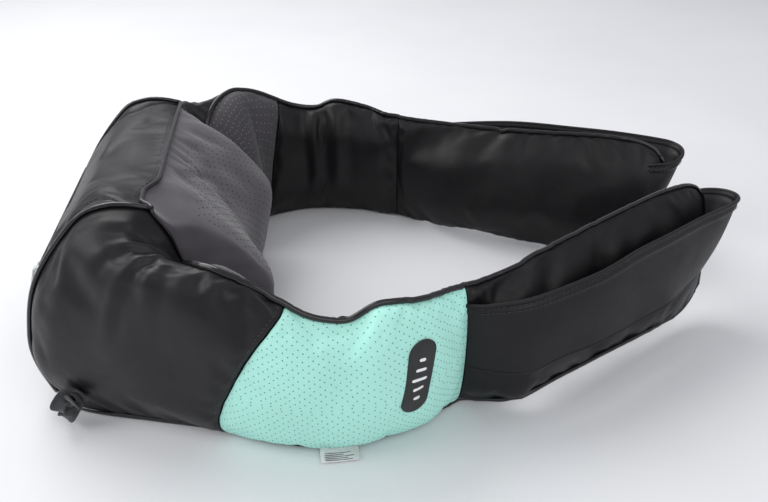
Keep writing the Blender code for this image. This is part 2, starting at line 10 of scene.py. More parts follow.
import bmesh
import bpy
import numpy as np
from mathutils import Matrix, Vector


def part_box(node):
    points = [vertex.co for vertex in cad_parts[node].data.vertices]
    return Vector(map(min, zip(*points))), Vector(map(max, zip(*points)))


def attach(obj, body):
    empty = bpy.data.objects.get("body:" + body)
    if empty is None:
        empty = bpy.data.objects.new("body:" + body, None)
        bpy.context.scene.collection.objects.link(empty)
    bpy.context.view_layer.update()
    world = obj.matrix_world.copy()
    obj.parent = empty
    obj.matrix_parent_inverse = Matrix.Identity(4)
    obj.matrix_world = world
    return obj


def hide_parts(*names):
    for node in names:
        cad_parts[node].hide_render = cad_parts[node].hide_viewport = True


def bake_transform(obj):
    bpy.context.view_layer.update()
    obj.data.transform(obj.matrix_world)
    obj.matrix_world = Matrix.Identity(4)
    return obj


bl_info = {
    "name": "Shiatsu Neck Massager",
    "version": (1, 0, 0),
    "blender": (4, 5, 0),
    "location": "3D View > Sidebar > Massager",
    "description": "Builds a wrap-around neck massager around its packed frame",
    "category": "Add Mesh",
}

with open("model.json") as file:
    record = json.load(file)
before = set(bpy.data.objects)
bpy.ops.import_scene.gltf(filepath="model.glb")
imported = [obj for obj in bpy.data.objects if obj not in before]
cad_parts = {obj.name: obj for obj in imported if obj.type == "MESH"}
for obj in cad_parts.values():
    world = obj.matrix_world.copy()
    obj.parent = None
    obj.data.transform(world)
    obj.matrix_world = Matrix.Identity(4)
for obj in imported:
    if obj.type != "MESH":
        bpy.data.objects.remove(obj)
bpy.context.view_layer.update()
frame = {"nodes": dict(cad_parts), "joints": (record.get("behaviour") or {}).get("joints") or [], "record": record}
MM = 0.001
SIDES = {"left": 1, "right": -1}
FINISHES, TREES, BODIES = {}, {}, {}  # materials, repeat trees and stuffed bodies, filled as the operators run

# Pillow section, mm: (x, z) points from the front bottom edge over the top to the back bottom edge.
FRONT_CURVE = ((-139, 1.5), (-128, 38), (-117.5, 80), (-125, 103), (-142, 125), (-165, 150), (-196, 173))
TOP_CURVE = ((-196, 173), (-212, 177), (-229, 177), (-250, 167), (-288, 120), (-305, 72), (-307.5, 40), (-299, 1.5))
HALF_WIDTH = 104.5
FRONT_ROWS, TOP_ROWS, BOTTOM_ROWS = 34, 44, 8

# Arm root, one row per station: outer x, y, inner x, y, lowest, highest, share of the pillow's section.
ROOT_STATIONS = (
    (-303, 104.5, -139, 104.5, 1.5, 177, 1.0), (-292, 125, -131, 119, 1, 174, 0.75),
    (-247, 147, -127, 132, 0.8, 167, 0.38), (-203, 163, -128, 144, 0.8, 160, 0.12),
    (-165, 178, -128, 151, 0.8, 154, 0), (-126, 194, -112, 160, 0.8, 145, 0), (-91, 205.5, -85, 166, 0.6, 132, 0),
    (-61, 208, -63, 166.5, 0.6, 128, 0), (-34, 203, -46, 163, 0.6, 136, 0), (-4.5, 194, -15.5, 156, 0.6, 131, 0),
    (15.5, 176, 7.5, 148, 1.2, 126, 0), (31, 163.5, 25, 146, 2, 124.5, 0),
)
OUTER_ROWS, INNER_ROWS, SOLE_ROWS = 40, 26, 4  # rows of an arm root's section; a strap has fewer outer ones
STRAP_ROWS, STRAP_COLUMNS = 28, 88
# Strap, one row per station: x, y, half thickness, lowest and highest point.
STRAP_STATIONS = (
    (28, 154.4, 9.5, 2, 124.5), (42, 149, 13, 3, 123), (85, 131.5, 14, 15, 121), (150, 98, 14, 13, 123.5),
    (215, 67.5, 13.5, 12, 127.5), (252, 51, 12.5, 13, 127), (270, 43, 9, 20, 122), (279, 39.5, 5.5, 30, 113),
)
# Hand band, one row per station: x, y, lowest and highest point.
BAND_STATIONS = (
    (28.5, 161.5, 44, 104.5), (46, 166.5, 46, 106.5), (85, 164, 52, 110.5), (135, 150, 54, 115), (182, 127, 53, 118.5),
    (247, 94, 53, 120), (294, 69, 54, 119), (306, 57, 55, 118), (306, 45, 57, 117), (298, 34, 59, 115),
    (285, 28.5, 61, 113), (272, 31, 62, 111), (262, 37.5, 64, 108),
)
# Each strap leans by this share of a point's depth below LEAN_HEIGHT, growing from LEAN_FROM to LEAN_TO in x.
STRAP_LEAN, LEAN_FROM, LEAN_TO, LEAN_HEIGHT = 0.35, 28.0, 85.0, 115.0


# ---------------------------------------------------------------- points

def spline(points, at):
    """Catmull-Rom values at places given in stations, for any array of places."""
    points = np.asarray(points, float)
    padded = np.vstack([2 * points[0] - points[1], points, 2 * points[-1] - points[-2]])
    at = np.clip(np.asarray(at, float), 0, len(points) - 1)
    i = np.minimum(at.astype(int), len(points) - 2)
    t = (at - i)[..., None]
    a, b, c, d = (padded[i + k] for k in range(4))
    return 0.5 * (2 * b + (c - a) * t + (2 * a - 5 * b + 4 * c - d) * t**2 + (3 * b - a - 3 * c + d) * t**3)


def walked(points, axis=0):
    """How far each point of a curve or grid lies from the first one, along the given axis."""
    steps = np.linalg.norm(np.diff(points, axis=axis), axis=-1)
    return np.insert(np.cumsum(steps, axis), 0, 0, axis=axis)


def even(points, count):
    """A curve through the points, in count + 1 points evenly spaced along it."""
    fine = spline(points, np.linspace(0, len(points) - 1, 500))
    reach = walked(fine)
    at = np.linspace(0, reach[-1], count + 1)
    return np.stack([np.interp(at, reach, fine[:, k]) for k in range(fine.shape[1])], 1)


def ease(x):
    """A smooth step from 0 to 1."""
    x = np.clip(x, 0, 1)
    return x * x * (3 - 2 * x)


def bell(x, width):
    """A rounded bump of height 1 at 0."""
    return np.exp(-((x / width) ** 2))


def unit(v):
    """Vectors of length 1."""
    return v / np.maximum(np.linalg.norm(v, axis=-1, keepdims=True), 1e-9)


def ring_normals(grid):
    """Normals of a closed-ring grid by its own winding, and +1 if they point outwards or -1 if inwards."""
    normal = np.cross(np.gradient(grid, axis=0), np.roll(grid, -1, 1) - np.roll(grid, 1, 1))
    away = grid - grid.mean(axis=1, keepdims=True)
    return normal, np.sign((away * normal).sum())


def outward(grid):
    """Unit normals of a closed-ring grid, pointing away from its middle line."""
    normal, sense = ring_normals(grid)
    return unit(normal) * sense


def facing(grid):
    """+1 when the grid's own winding points outwards, otherwise -1."""
    return ring_normals(grid)[1]


def leaned(points):
    """Straps lean the same way: their lower edges towards -Y."""
    made = points.copy()
    share = STRAP_LEAN * ease((points[..., 0] - LEAN_FROM) / (LEAN_TO - LEAN_FROM))
    made[..., 1] += share * (points[..., 2] - LEAN_HEIGHT)
    return made


def lobe_depth(y, z):
    """How far the mesh front stands back from its two lobes' noses."""
    valley = 24 * 0.5 * (1 + np.cos(np.pi * np.minimum(np.abs(y) / 82, 1))) * np.minimum(1, z / 75)
    rolled = np.maximum(0, (np.abs(y) - 84) / 20.5) ** 2.2
    edge = 48 * rolled * np.sin(np.pi * np.clip((z - 5) / 170, 0, 1))
    return valley * np.clip((176 - z) / 70, 0, 1) + edge


def pillow_section(y):
    """Rows of the pillow's section for a grid of y: front, then top and back, then the underside."""
    face, over = even(FRONT_CURVE, FRONT_ROWS), even(TOP_CURVE, TOP_ROWS)
    under = np.linspace(over[-1], face[0], BOTTOM_ROWS + 1)
    x, z = np.concatenate([face[:-1], over[:-1], under[:-1]]).T[:, None]
    rows = np.arange(x.shape[1])
    depth = np.where(rows[None] < FRONT_ROWS, lobe_depth(y, z), 0)
    kink = 9 * ease((-58 - y) / 20) * ease((y + 103) / 12)
    shift = kink * bell(rows[None] - FRONT_ROWS, 5)
    return np.stack([x - depth - shift, y, z + 0 * y], -1)


# ---------------------------------------------------------------- meshes

def linked(name, mesh):
    """An object for a mesh, in the scene."""
    obj = bpy.data.objects.new(name, mesh)
    bpy.context.scene.collection.objects.link(obj)
    return obj


def mesh_from(name, verts, faces, finish, uv=None):
    """A new piece from points in millimetres; uv holds one pair in metres for each point."""
    mesh = bpy.data.meshes.new(name)
    mesh.from_pydata((np.asarray(verts, float) * MM).tolist(), [], faces)
    if uv is not None:
        layer = mesh.uv_layers.new(name="sewn")
        loops = np.empty(len(mesh.loops), int)
        mesh.loops.foreach_get("vertex_index", loops)
        layer.data.foreach_set("uv", np.asarray(uv, float)[loops].ravel())
    mesh.materials.append(FINISHES[finish])
    mesh.shade_smooth()
    return linked(name, mesh)


def sheet_faces(columns, rows, wrap=False, flip=False):
    """Four-sided faces of a grid of points; wrap closes its rows into a ring."""
    faces = []
    for i in range(columns - 1):
        for j in range(rows if wrap else rows - 1):
            k = (j + 1) % rows
            face = (i * rows + j, (i + 1) * rows + j, (i + 1) * rows + k, i * rows + k)
            faces.append(face[::-1] if flip else face)
    return faces


def finished(obj, wall=0.0, levels=1):
    """Gives a piece its wall and subdivision, and leaves a plain mesh."""
    if wall:
        solid = obj.modifiers.new("wall", "SOLIDIFY")
        solid.thickness, solid.offset = wall * MM, -1
    if levels:
        smooth = obj.modifiers.new("smooth", "SUBSURF")
        smooth.levels = smooth.render_levels = levels
    return applied(obj)


def applied(obj):
    """Turns the modified object into a plain mesh and takes the modifiers off."""
    depsgraph = bpy.context.evaluated_depsgraph_get()
    depsgraph.update()
    made = bpy.data.meshes.new_from_object(obj.evaluated_get(depsgraph), depsgraph=depsgraph)
    old = obj.data
    obj.modifiers.clear()
    obj.data = made
    made.name = obj.name
    if old.users == 0:
        bpy.data.meshes.remove(old)
    return obj


def panel(name, grid, uv, columns, rows, finish, wall=1.4, levels=1):
    """One sewn panel of a body: a patch of its grid between two columns and two rows, with a wall inwards."""
    across, picked = slice(columns[0], columns[1] + 1), np.arange(rows[0], rows[1] + 1)
    patch = grid[across][:, picked % grid.shape[1]]
    flat = uv[across][:, picked]
    faces = sheet_faces(*patch.shape[:2], flip=facing(grid) < 0)
    obj = mesh_from(name, patch.reshape(-1, 3), faces, finish, flat.reshape(-1, 2))
    return finished(obj, wall, levels)


def girth(grid):
    """UV in metres: along the body, and round its ring with one extra row where the ring closes."""
    closed = np.concatenate([grid, grid[:, :1]], 1)
    along = walked(closed)
    along = along.mean(axis=1, keepdims=True) * 0.6 + along * 0.4
    return np.stack([along, walked(closed, 1)], -1) * MM


def laid_flat(grid, along):
    """UV in metres where the distance along the body is known, so that rows of holes stay straight."""
    flat = girth(grid)
    flat[..., 0] = np.concatenate([along, along[:, :1]], 1) * MM
    return flat


def walked_rows(grid, column, start=300):
    """Each point's own distance along its row, in mm, where one column lies at the start value."""
    along = walked(grid)
    return along - along[column] + start


def faces_outward(obj):
    """Turns every face of a closed mesh to the outside."""
    bm = bmesh.new()
    bm.from_mesh(obj.data)
    bmesh.ops.recalc_face_normals(bm, faces=bm.faces)
    bm.to_mesh(obj.data)
    bm.free()
    obj.data.shade_smooth()
    return obj


def cord_along(name, path, radius, finish, sides=8):
    """A round cord or piping that follows a path of points."""
    path = np.asarray(path, float)
    tangent = unit(np.gradient(path, axis=0))
    side = np.cross(tangent[0], (0.31, 0.22, 0.92))
    angles = np.arange(sides) * math.tau / sides
    verts = []
    for place, t in zip(path, tangent):
        side = side - t * np.dot(side, t)
        side = side / np.linalg.norm(side)
        up = np.cross(t, side)
        verts += [place + radius * (math.cos(a) * side + math.sin(a) * up) for a in angles]
    last = (len(path) - 1) * sides
    faces = sheet_faces(len(path), sides, wrap=True, flip=True)
    faces += [tuple(range(sides)), tuple(last + j for j in reversed(range(sides)))]
    return faces_outward(mesh_from(name, verts, faces, finish))


def joined(name, *objects):
    """Several plain pieces of one body as one piece."""
    bm = bmesh.new()
    materials = []
    for obj in objects:
        start = len(bm.faces)
        bm.from_mesh(obj.data)
        bm.faces.ensure_lookup_table()
        for face in bm.faces[start:]:
            used = obj.data.materials[face.material_index]
            if used not in materials:
                materials.append(used)
            face.material_index = materials.index(used)
    mesh = bpy.data.meshes.new(name)
    bm.to_mesh(mesh)
    bm.free()
    for used in materials:
        mesh.materials.append(used)
    for obj in objects:
        old = obj.data
        bpy.data.objects.remove(obj)
        bpy.data.meshes.remove(old)
    return linked(name, mesh)


# ---------------------------------------------------------------- cloth

def stuffed(grid, held, pressure, shrink, cap, frames=16):
    """Fills a closed body of fabric: Cloth with pressure, its seams held, no point moved beyond the cap in mm."""
    if not chosen().simulate:
        return grid
    columns, rows = grid.shape[:2]
    verts = np.concatenate([grid.reshape(-1, 3), grid[0].mean(0)[None], grid[-1].mean(0)[None]])
    faces = sheet_faces(columns, rows, wrap=True, flip=facing(grid) < 0)
    start, end = columns * rows, columns * rows + 1
    last = (columns - 1) * rows
    caps = [(start, j, (j + 1) % rows) for j in range(rows)]
    tails = [(end, last + (j + 1) % rows, last + j) for j in range(rows)]
    if facing(grid) < 0:
        caps, tails = [f[::-1] for f in caps], [f[::-1] for f in tails]
    mesh = bpy.data.meshes.new("stuffing")
    mesh.from_pydata((verts * MM).tolist(), [], faces + caps + tails)
    obj = linked("stuffing", mesh)
    group = obj.vertex_groups.new(name="held")
    weights = np.concatenate([held.ravel(), [1, 1]])
    for level in (0.75, 1.0):
        group.add(np.nonzero(weights == level)[0].tolist(), level, "REPLACE")
    cloth = obj.modifiers.new("cloth", "CLOTH")
    settings = cloth.settings
    settings.quality = 6
    settings.mass = 0.25
    settings.tension_stiffness = settings.compression_stiffness = 14
    settings.shear_stiffness = 6
    settings.bending_stiffness = 0.35
    settings.vertex_group_mass = "held"
    settings.pin_stiffness = 20
    settings.use_pressure = True
    settings.uniform_pressure_force = pressure
    settings.shrink_min = shrink
    settings.effector_weights.gravity = 0
    cloth.collision_settings.use_collision = False
    scene = bpy.context.scene
    cloth.point_cache.frame_start, cloth.point_cache.frame_end = 1, frames
    for number in range(1, frames + 1):
        scene.frame_set(number)
    depsgraph = bpy.context.evaluated_depsgraph_get()
    moved = obj.evaluated_get(depsgraph).data
    points = np.empty(len(moved.vertices) * 3)
    moved.vertices.foreach_get("co", points)
    points = points.reshape(-1, 3)[:start].reshape(grid.shape) / MM
    scene.frame_set(1)
    bpy.data.objects.remove(obj)
    bpy.data.meshes.remove(mesh)
    step = np.nan_to_num(points - grid)
    length = np.linalg.norm(step, axis=2, keepdims=True)
    return grid + step * np.minimum(1, cap / np.maximum(length, 1e-6))


def fold(normal, u, v, centre, size, depth, turn=0.0):
    """A crease or ridge pressed along the normals: centre and size in the (u, v) of the panel, in mm."""
    a = math.radians(turn)
    du, dv = u - centre[0], v - centre[1]
    across, along = du * math.cos(a) + dv * math.sin(a), dv * math.cos(a) - du * math.sin(a)
    shape = bell(across, size[0]) * bell(along, size[1])
    return normal * (depth * shape)[..., None]


def ripple(u, v, seed, wave, height):
    """A gentle unevenness made of a few sine waves, the same on every run."""
    draw = np.random.default_rng(seed)
    total = np.zeros(np.broadcast(u, v).shape)
    for _ in range(7):
        angle, phase, scale = draw.uniform(0, math.tau), draw.uniform(0, math.tau), draw.uniform(0.6, 1.7)
        total += np.sin((u * math.cos(angle) + v * math.sin(angle)) * math.tau / (wave * scale) + phase)
    return total * height / 2.6


# ---------------------------------------------------------------- finishes

def add_node(tree, kind, settings, inputs):
    """Adds a node; an input is named by its label or as i0, i1, i2 by its place, and takes a value or a link."""
    made = tree.nodes.new(kind)
    for key, value in (settings or {}).items():
        setattr(made, key, value)
    for key, value in inputs.items():
        socket = made.inputs[int(key[1])] if key in ("i0", "i1", "i2") else made.inputs[key.replace("_", " ")]
        if isinstance(value, bpy.types.NodeSocket):
            tree.links.new(value, socket)
        else:
            socket.default_value = value
    return made


class Finish:
    """A material being made: its shader's own values, and nodes added one by one."""

    def __init__(self, name, colour, roughness, **own):
        self.name, self.material = name, bpy.data.materials.new(name)
        self.material.use_nodes = True
        self.tree = self.material.node_tree
        self.shader = self.tree.nodes["Principled BSDF"]
        self.shader.inputs["Base Color"].default_value = (*colour, 1)
        self.shader.inputs["Roughness"].default_value = roughness
        for key, value in own.items():
            self.shader.inputs[key.replace("_", " ")].default_value = value
        self.height = None
        self.place = self.node("ShaderNodeTexCoord").outputs["Object"]

    def node(self, kind, settings=None, **inputs):
        return add_node(self.tree, kind, settings, inputs)

    def noise(self, scale, detail=3.0, rough=0.5, stretch=None, warp=0.0):
        where = self.place
        if stretch:
            where = self.node("ShaderNodeMapping", Vector=where, Scale=stretch).outputs[0]
        return self.node("ShaderNodeTexNoise", Vector=where, Scale=scale, Detail=detail, Roughness=rough,
                         Distortion=warp).outputs[0]

    def crossed(self, *bands, **inputs):
        """Two sets of ribs, each a direction, scale and distortion, where they cross."""
        waves = [self.node("ShaderNodeTexWave", {"bands_direction": way}, Vector=self.place, Scale=scale,
                           Distortion=warp, **inputs).outputs[1] for way, scale, warp in bands]
        return self.node("ShaderNodeMath", {"operation": "MULTIPLY"}, i0=waves[0], i1=waves[1]).outputs[0]

    def colours(self, value, *stops):
        """A colour from a value through (place, colour) stops, into the shader."""
        ramp = self.node("ShaderNodeValToRGB", Fac=value)
        elements = ramp.color_ramp.elements
        while len(elements) < len(stops):
            elements.new(0.5)
        for element, (place, colour) in zip(elements, stops):
            element.position, element.color = place, (*colour, 1)
        self.tree.links.new(ramp.outputs[0], self.shader.inputs["Base Color"])
        return self

    def rough(self, value, low, high):
        """Spreads a noise value over a range of roughness."""
        spread = self.node("ShaderNodeMapRange", Value=value, From_Min=0.3, From_Max=0.7, To_Min=low, To_Max=high)
        self.tree.links.new(spread.outputs[0], self.shader.inputs["Roughness"])
        return self

    def bump(self, height, strength, distance):
        """Adds a layer of relief, distance in metres, on top of the layers before it."""
        made = self.node("ShaderNodeBump", Height=height, Strength=strength, Distance=distance)
        if self.height:
            self.tree.links.new(self.height, made.inputs["Normal"])
        self.height = made.outputs[0]
        self.tree.links.new(self.height, self.shader.inputs["Normal"])
        return self


def leather(name, dark, light, gloss, grain=0.22, own=None):
    """Soft PU leather: fine pebble grain, soft creasing and slight change of shade and shine."""
    made = Finish(name, dark, sum(gloss) / 2, **{"Specular_IOR_Level": 0.3, **(own or {})})
    shade = made.noise(14, 4, 0.55)
    made.colours(shade, (0.3, dark), (0.75, light))
    made.rough(made.noise(38, 5, 0.6), *gloss)
    made.bump(made.noise(55, 4, 0.6, warp=0.6), 0.16, 0.0016)
    cells = made.node("ShaderNodeTexVoronoi", Vector=made.place, Scale=1150)
    made.bump(cells.outputs["Distance"], grain, 0.00025)
    return made.bump(made.noise(2300, 2, 0.5), 0.12, 0.0001)


def knit(name, dark, light, roughness=0.86, strength=0.5):
    """Knitted mesh: rows of small loops about a millimetre apart, with a soft sheen."""
    made = Finish(name, dark, roughness, Sheen_Weight=0.25, Sheen_Roughness=0.5)
    made.colours(made.noise(26, 5, 0.6), (0.3, dark), (0.7, light))
    loops = made.crossed(("DIAGONAL", 330.0, 1.2), ("Z", 420.0, 1.0), Detail=1.0, Detail_Scale=1.5)
    made.bump(made.noise(48, 5, 0.65), 0.25, 0.002)
    return made.bump(loops, strength, 0.0004)


def moulded(name, colour, roughness, own=None, texture=0.1):
    """Moulded plastic: fine spark texture and slight flow marks."""
    made = Finish(name, colour, roughness, **(own or {}))
    light = tuple(min(1, c * 1.16 + 0.004) for c in colour)
    made.colours(made.noise(20, 3, 0.5), (0.35, colour), (0.75, light))
    made.rough(made.noise(90, 3, 0.5), roughness - 0.06, roughness + 0.08)
    return made.bump(made.noise(1600, 2, 0.6), texture, 0.0001)


def metal(name, colour, roughness, stretch=(1, 1, 14)):
    """Drawn or turned metal: fine lines and faint tarnish."""
    made = Finish(name, colour, roughness, Metallic=1.0)
    worn = tuple(c * 0.72 for c in colour)
    made.colours(made.noise(70, 4, 0.6), (0.3, worn), (0.6, colour))
    made.rough(made.noise(260, 3, 0.6, stretch), roughness - 0.08, roughness + 0.14)
    return made.bump(made.noise(700, 2, 0.5, stretch), 0.08, 0.00008)


def woven(name, dark, light, ribs=300.0):
    """Woven webbing or label cloth: warp and weft ribs."""
    made = Finish(name, dark, 0.85, Sheen_Weight=0.2)
    made.colours(made.noise(120, 4, 0.6), (0.3, dark), (0.7, light))
    return made.bump(made.crossed(("Y", ribs, 0.0), ("Z", ribs, 0.0)), 0.6, 0.0003)


def make_finishes():
    """Every material of the massager, by its slot or by the trim it is for."""
    black, mint, mesh = chosen().leather, chosen().mint, chosen().mesh

    def between(colour, low, high):
        return tuple(c * low for c in colour), tuple(min(1, c * high) for c in colour)

    made = (
        leather("black_leather", *between(black, 0.85, 1.25), (0.36, 0.5)),
        # painted highlight: a lighter copy of the black leather for the pillow's top panel and gussets, standing for
        # light falling on the top
        leather("top_leather", *between(black, 1.05, 1.45), (0.38, 0.5), 0.15),
        # painted shade: a darker copy of the black leather for the straps and the arms' inner panels, standing for the
        # shade under the bands and on the inward faces
        leather("strap_leather", *between(black, 0.5, 0.8), (0.36, 0.52)),
        leather("band_leather", *between(black, 0.9, 1.2), (0.42, 0.56), 0.12),
        leather("piping", *between(black, 0.6, 0.9), (0.14, 0.24), 0.06, {"Coat_Weight": 0.5}),
        # painted highlight: a much lighter copy of the piping's leather for the cord along the pillow's front edge,
        # standing for light caught on that ridge
        leather("front_piping", *between(black, 2.2, 3.2), (0.2, 0.3), 0.06, {"Coat_Weight": 0.3}),
        knit("grey_mesh", *between(mesh, 0.85, 1.15)),
        knit("slate_mesh", *between(mesh, 0.5, 0.72), 0.7, 0.3),
        leather("mint_leather", *between(mint, 0.96, 1.06), (0.48, 0.6), 0.12),
        moulded("mint_hole", (0.05, 0.2, 0.19), 0.8),
        moulded("dark_hole", (0.006, 0.006, 0.007), 0.8),
        moulded("pale_hole", (0.16, 0.16, 0.18), 0.6),
        woven("thread", (0.02, 0.02, 0.022), (0.045, 0.045, 0.05)),
        knit("foam", (0.55, 0.53, 0.48), (0.7, 0.68, 0.62), 0.95),
        moulded("housing_plastic", (0.045, 0.045, 0.05), 0.42),
        moulded("white_plastic", (0.78, 0.78, 0.76), 0.4),
        metal("steel", (0.56, 0.57, 0.58), 0.28),
        metal("bronze", (0.55, 0.36, 0.16), 0.35),
        moulded("nylon", (0.86, 0.84, 0.76), 0.42, {"Subsurface_Weight": 0.1}),
        moulded("head_silicone", (0.2, 0.045, 0.04), 0.5),
        moulded("lens", (0.75, 0.06, 0.03), 0.15, {"Transmission_Weight": 0.35}, 0.02),
        moulded("board", (0.02, 0.16, 0.07), 0.45),
        woven("webbing", (0.018, 0.018, 0.02), (0.045, 0.045, 0.05)),
        woven("label", (0.72, 0.71, 0.7), (0.9, 0.89, 0.88), 500.0),
        moulded("label_ink", (0.12, 0.11, 0.12), 0.7),
        moulded("button_rubber", (0.012, 0.012, 0.014), 0.5, None, 0.2),
        moulded("mark_white", (0.85, 0.85, 0.85), 0.45),
        floor_finish(),
    )
    FINISHES.update({finish.name: finish.material for finish in made})


def floor_finish():
    """Pale seamless paper, a little mottled."""
    made = Finish("floor", (0.8, 0.8, 0.81), 0.7)
    made.colours(made.noise(2.2, 4, 0.6), (0.3, (0.735, 0.735, 0.75)), (0.75, (0.79, 0.79, 0.8)))
    return made.bump(made.noise(220, 3, 0.6), 0.05, 0.0005)


# ---------------------------------------------------------------- geometry nodes

class Repeat:
    """A Geometry Nodes tree with named inputs, ready to run on an object."""

    def __init__(self, name, inputs):
        self.tree = bpy.data.node_groups.new(name, "GeometryNodeTree")
        self.tree.is_modifier = True
        face = self.tree.interface
        face.new_socket("Geometry", in_out="INPUT", socket_type="NodeSocketGeometry")
        for label, kind, value in inputs:
            socket = face.new_socket(label, in_out="INPUT", socket_type=f"NodeSocket{kind}")
            if value is not None:
                socket.default_value = value
        face.new_socket("Geometry", in_out="OUTPUT", socket_type="NodeSocketGeometry")
        self.input = self.tree.nodes.new("NodeGroupInput")
        self.output = self.tree.nodes.new("NodeGroupOutput")

    def add(self, kind, settings=None, **inputs):
        return add_node(self.tree, kind, settings, inputs)

    def given(self, label):
        """The socket of one of the tree's own inputs."""
        return self.input.outputs[label]

    def sum(self, a, b):
        return self.add("ShaderNodeVectorMath", {"operation": "ADD"}, i0=a, i1=b).outputs[0]

    def join(self, source, node, label):
        """Links to the input of that label which the node's data type has switched on."""
        self.tree.links.new(source, next(s for s in node.inputs if s.name == label and s.enabled))

    def math(self, operation, a, b=0.0):
        return self.add("ShaderNodeMath", {"operation": operation}, i0=a, i1=b).outputs[0]

    def finish(self, instances):
        """Ends the tree: instances made real, in the given finish."""
        real = self.add("GeometryNodeRealizeInstances", Geometry=instances)
        coloured = self.add("GeometryNodeSetMaterial", Geometry=real.outputs[0], Material=self.given("Finish"))
        self.tree.links.new(coloured.outputs[0], self.output.inputs[0])
        return self

    def run(self, obj, **values):
        """Runs the tree on an object and leaves the result as its plain mesh."""
        modifier = obj.modifiers.new(self.tree.name, "NODES")
        modifier.node_group = self.tree
        for item in self.tree.interface.items_tree:
            if item.in_out == "INPUT" and item.name.replace(" ", "_") in values:
                modifier[item.identifier] = values[item.name.replace(" ", "_")]
        return applied(obj)


HOLE_JITTER = 0.0005  # how far a hole may lie from its place in the row, metres


def perforation_tree():
    """Small holes in staggered rows, spread over a panel by its own flat layout."""
    made = Repeat("perforations", (("Columns", "Int", 20), ("Rows", "Int", 20), ("Pitch", "Float", 0.006),
                                   ("Radius", "Float", 0.0005), ("Proud", "Float", 0.0001), ("Middle", "Vector", None),
                                   ("Seed", "Int", 3), ("Finish", "Material", None)))
    pitch = made.given("Pitch")
    half = made.math("MULTIPLY", pitch, 0.5)
    wide = made.math("MULTIPLY", made.math("SUBTRACT", made.given("Columns"), 1.0), pitch)
    tall = made.math("MULTIPLY", made.math("SUBTRACT", made.given("Rows"), 1.0), half)
    lattice = made.add("GeometryNodeMeshGrid", Size_X=wide, Size_Y=tall, Vertices_X=made.given("Columns"),
                       Vertices_Y=made.given("Rows"))
    place = made.add("GeometryNodeInputPosition").outputs[0]
    row = made.math("ROUND", made.math("DIVIDE", made.add("ShaderNodeSeparateXYZ", Vector=place).outputs[1], half))
    odd = made.math("MULTIPLY", made.math("ABSOLUTE", made.math("MODULO", row, 2.0)), half)
    jitter = made.add("FunctionNodeRandomValue", {"data_type": "FLOAT_VECTOR"}, Seed=made.given("Seed"))
    jitter.inputs[0].default_value = (-HOLE_JITTER, -HOLE_JITTER, 0)
    jitter.inputs[1].default_value = (HOLE_JITTER, HOLE_JITTER, 0)
    shift = made.sum(made.add("ShaderNodeCombineXYZ", X=odd).outputs[0], jitter.outputs[0])
    shift = made.sum(shift, made.given("Middle"))
    moved = made.add("GeometryNodeSetPosition", Geometry=lattice.outputs[0], Offset=shift)
    points = made.add("GeometryNodeMeshToPoints", Mesh=moved.outputs[0])
    flat = made.add("GeometryNodeInputNamedAttribute", {"data_type": "FLOAT_VECTOR"}, Name="sewn").outputs[0]
    found = []
    for value in (made.add("GeometryNodeInputPosition").outputs[0], made.add("GeometryNodeInputNormal").outputs[0]):
        sample = made.add("GeometryNodeSampleUVSurface", {"data_type": "FLOAT_VECTOR"})
        spot = made.add("GeometryNodeInputPosition").outputs[0]
        for source, label in ((made.given("Geometry"), "Mesh"), (value, "Value"), (flat, "UV Map"),
                              (spot, "Sample UV")):
            made.join(source, sample, label)
        found.append(sample)
    where, normal = (sample.outputs[0] for sample in found)
    missed = made.add("FunctionNodeBooleanMath", {"operation": "NOT"}, i0=found[0].outputs[1]).outputs[0]
    keep = made.add("GeometryNodeDeleteGeometry", {"domain": "POINT"}, Geometry=points.outputs[0], Selection=missed)
    turn = made.add("FunctionNodeAlignRotationToVector", {"axis": "Z"}, Vector=normal)
    kept = made.add("GeometryNodeStoreNamedAttribute", {"data_type": "QUATERNION", "domain": "POINT"},
                    Geometry=keep.outputs[0], Name="turn")
    made.join(turn.outputs[0], kept, "Value")
    lift = made.add("ShaderNodeVectorMath", {"operation": "SCALE"}, i0=normal, Scale=made.given("Proud"))
    placed = made.add("GeometryNodeSetPosition", Geometry=kept.outputs[0], Position=made.sum(where, lift.outputs[0]))
    hole = made.add("GeometryNodeMeshCylinder", {"fill_type": "NGON"}, Vertices=8, Radius=made.given("Radius"),
                    Depth=made.math("MULTIPLY", made.given("Proud"), 2.0))
    turned = made.add("GeometryNodeInputNamedAttribute", {"data_type": "QUATERNION"}, Name="turn")
    spread = made.add("GeometryNodeInstanceOnPoints", Points=placed.outputs[0], Instance=hole.outputs[0])
    made.join(next(s for s in turned.outputs if s.enabled), spread, "Rotation")
    return made.finish(spread.outputs[0])


def stitch_tree():
    """Stitches, teeth or any small block repeated along the object's edges."""
    made = Repeat("stitches", (("Pitch", "Float", 0.004), ("Length", "Float", 0.0026), ("Width", "Float", 0.0007),
                               ("Depth", "Float", 0.0005), ("Finish", "Material", None)))
    curve = made.add("GeometryNodeMeshToCurve", Mesh=made.given("Geometry"))
    spaced = made.add("GeometryNodeResampleCurve", {"mode": "LENGTH"}, Curve=curve.outputs[0],
                      Length=made.given("Pitch"))
    points = made.add("GeometryNodeCurveToPoints", {"mode": "EVALUATED"}, Curve=spaced.outputs[0])
    size = made.add("ShaderNodeCombineXYZ", X=made.given("Width"), Y=made.given("Depth"), Z=made.given("Length"))
    stitch = made.add("GeometryNodeMeshIcoSphere", Radius=0.5, Subdivisions=1)
    spread = made.add("GeometryNodeInstanceOnPoints", Points=points.outputs[0], Instance=stitch.outputs[0],
                      Rotation=points.outputs["Rotation"], Scale=size.outputs[0])
    return made.finish(spread.outputs[0])


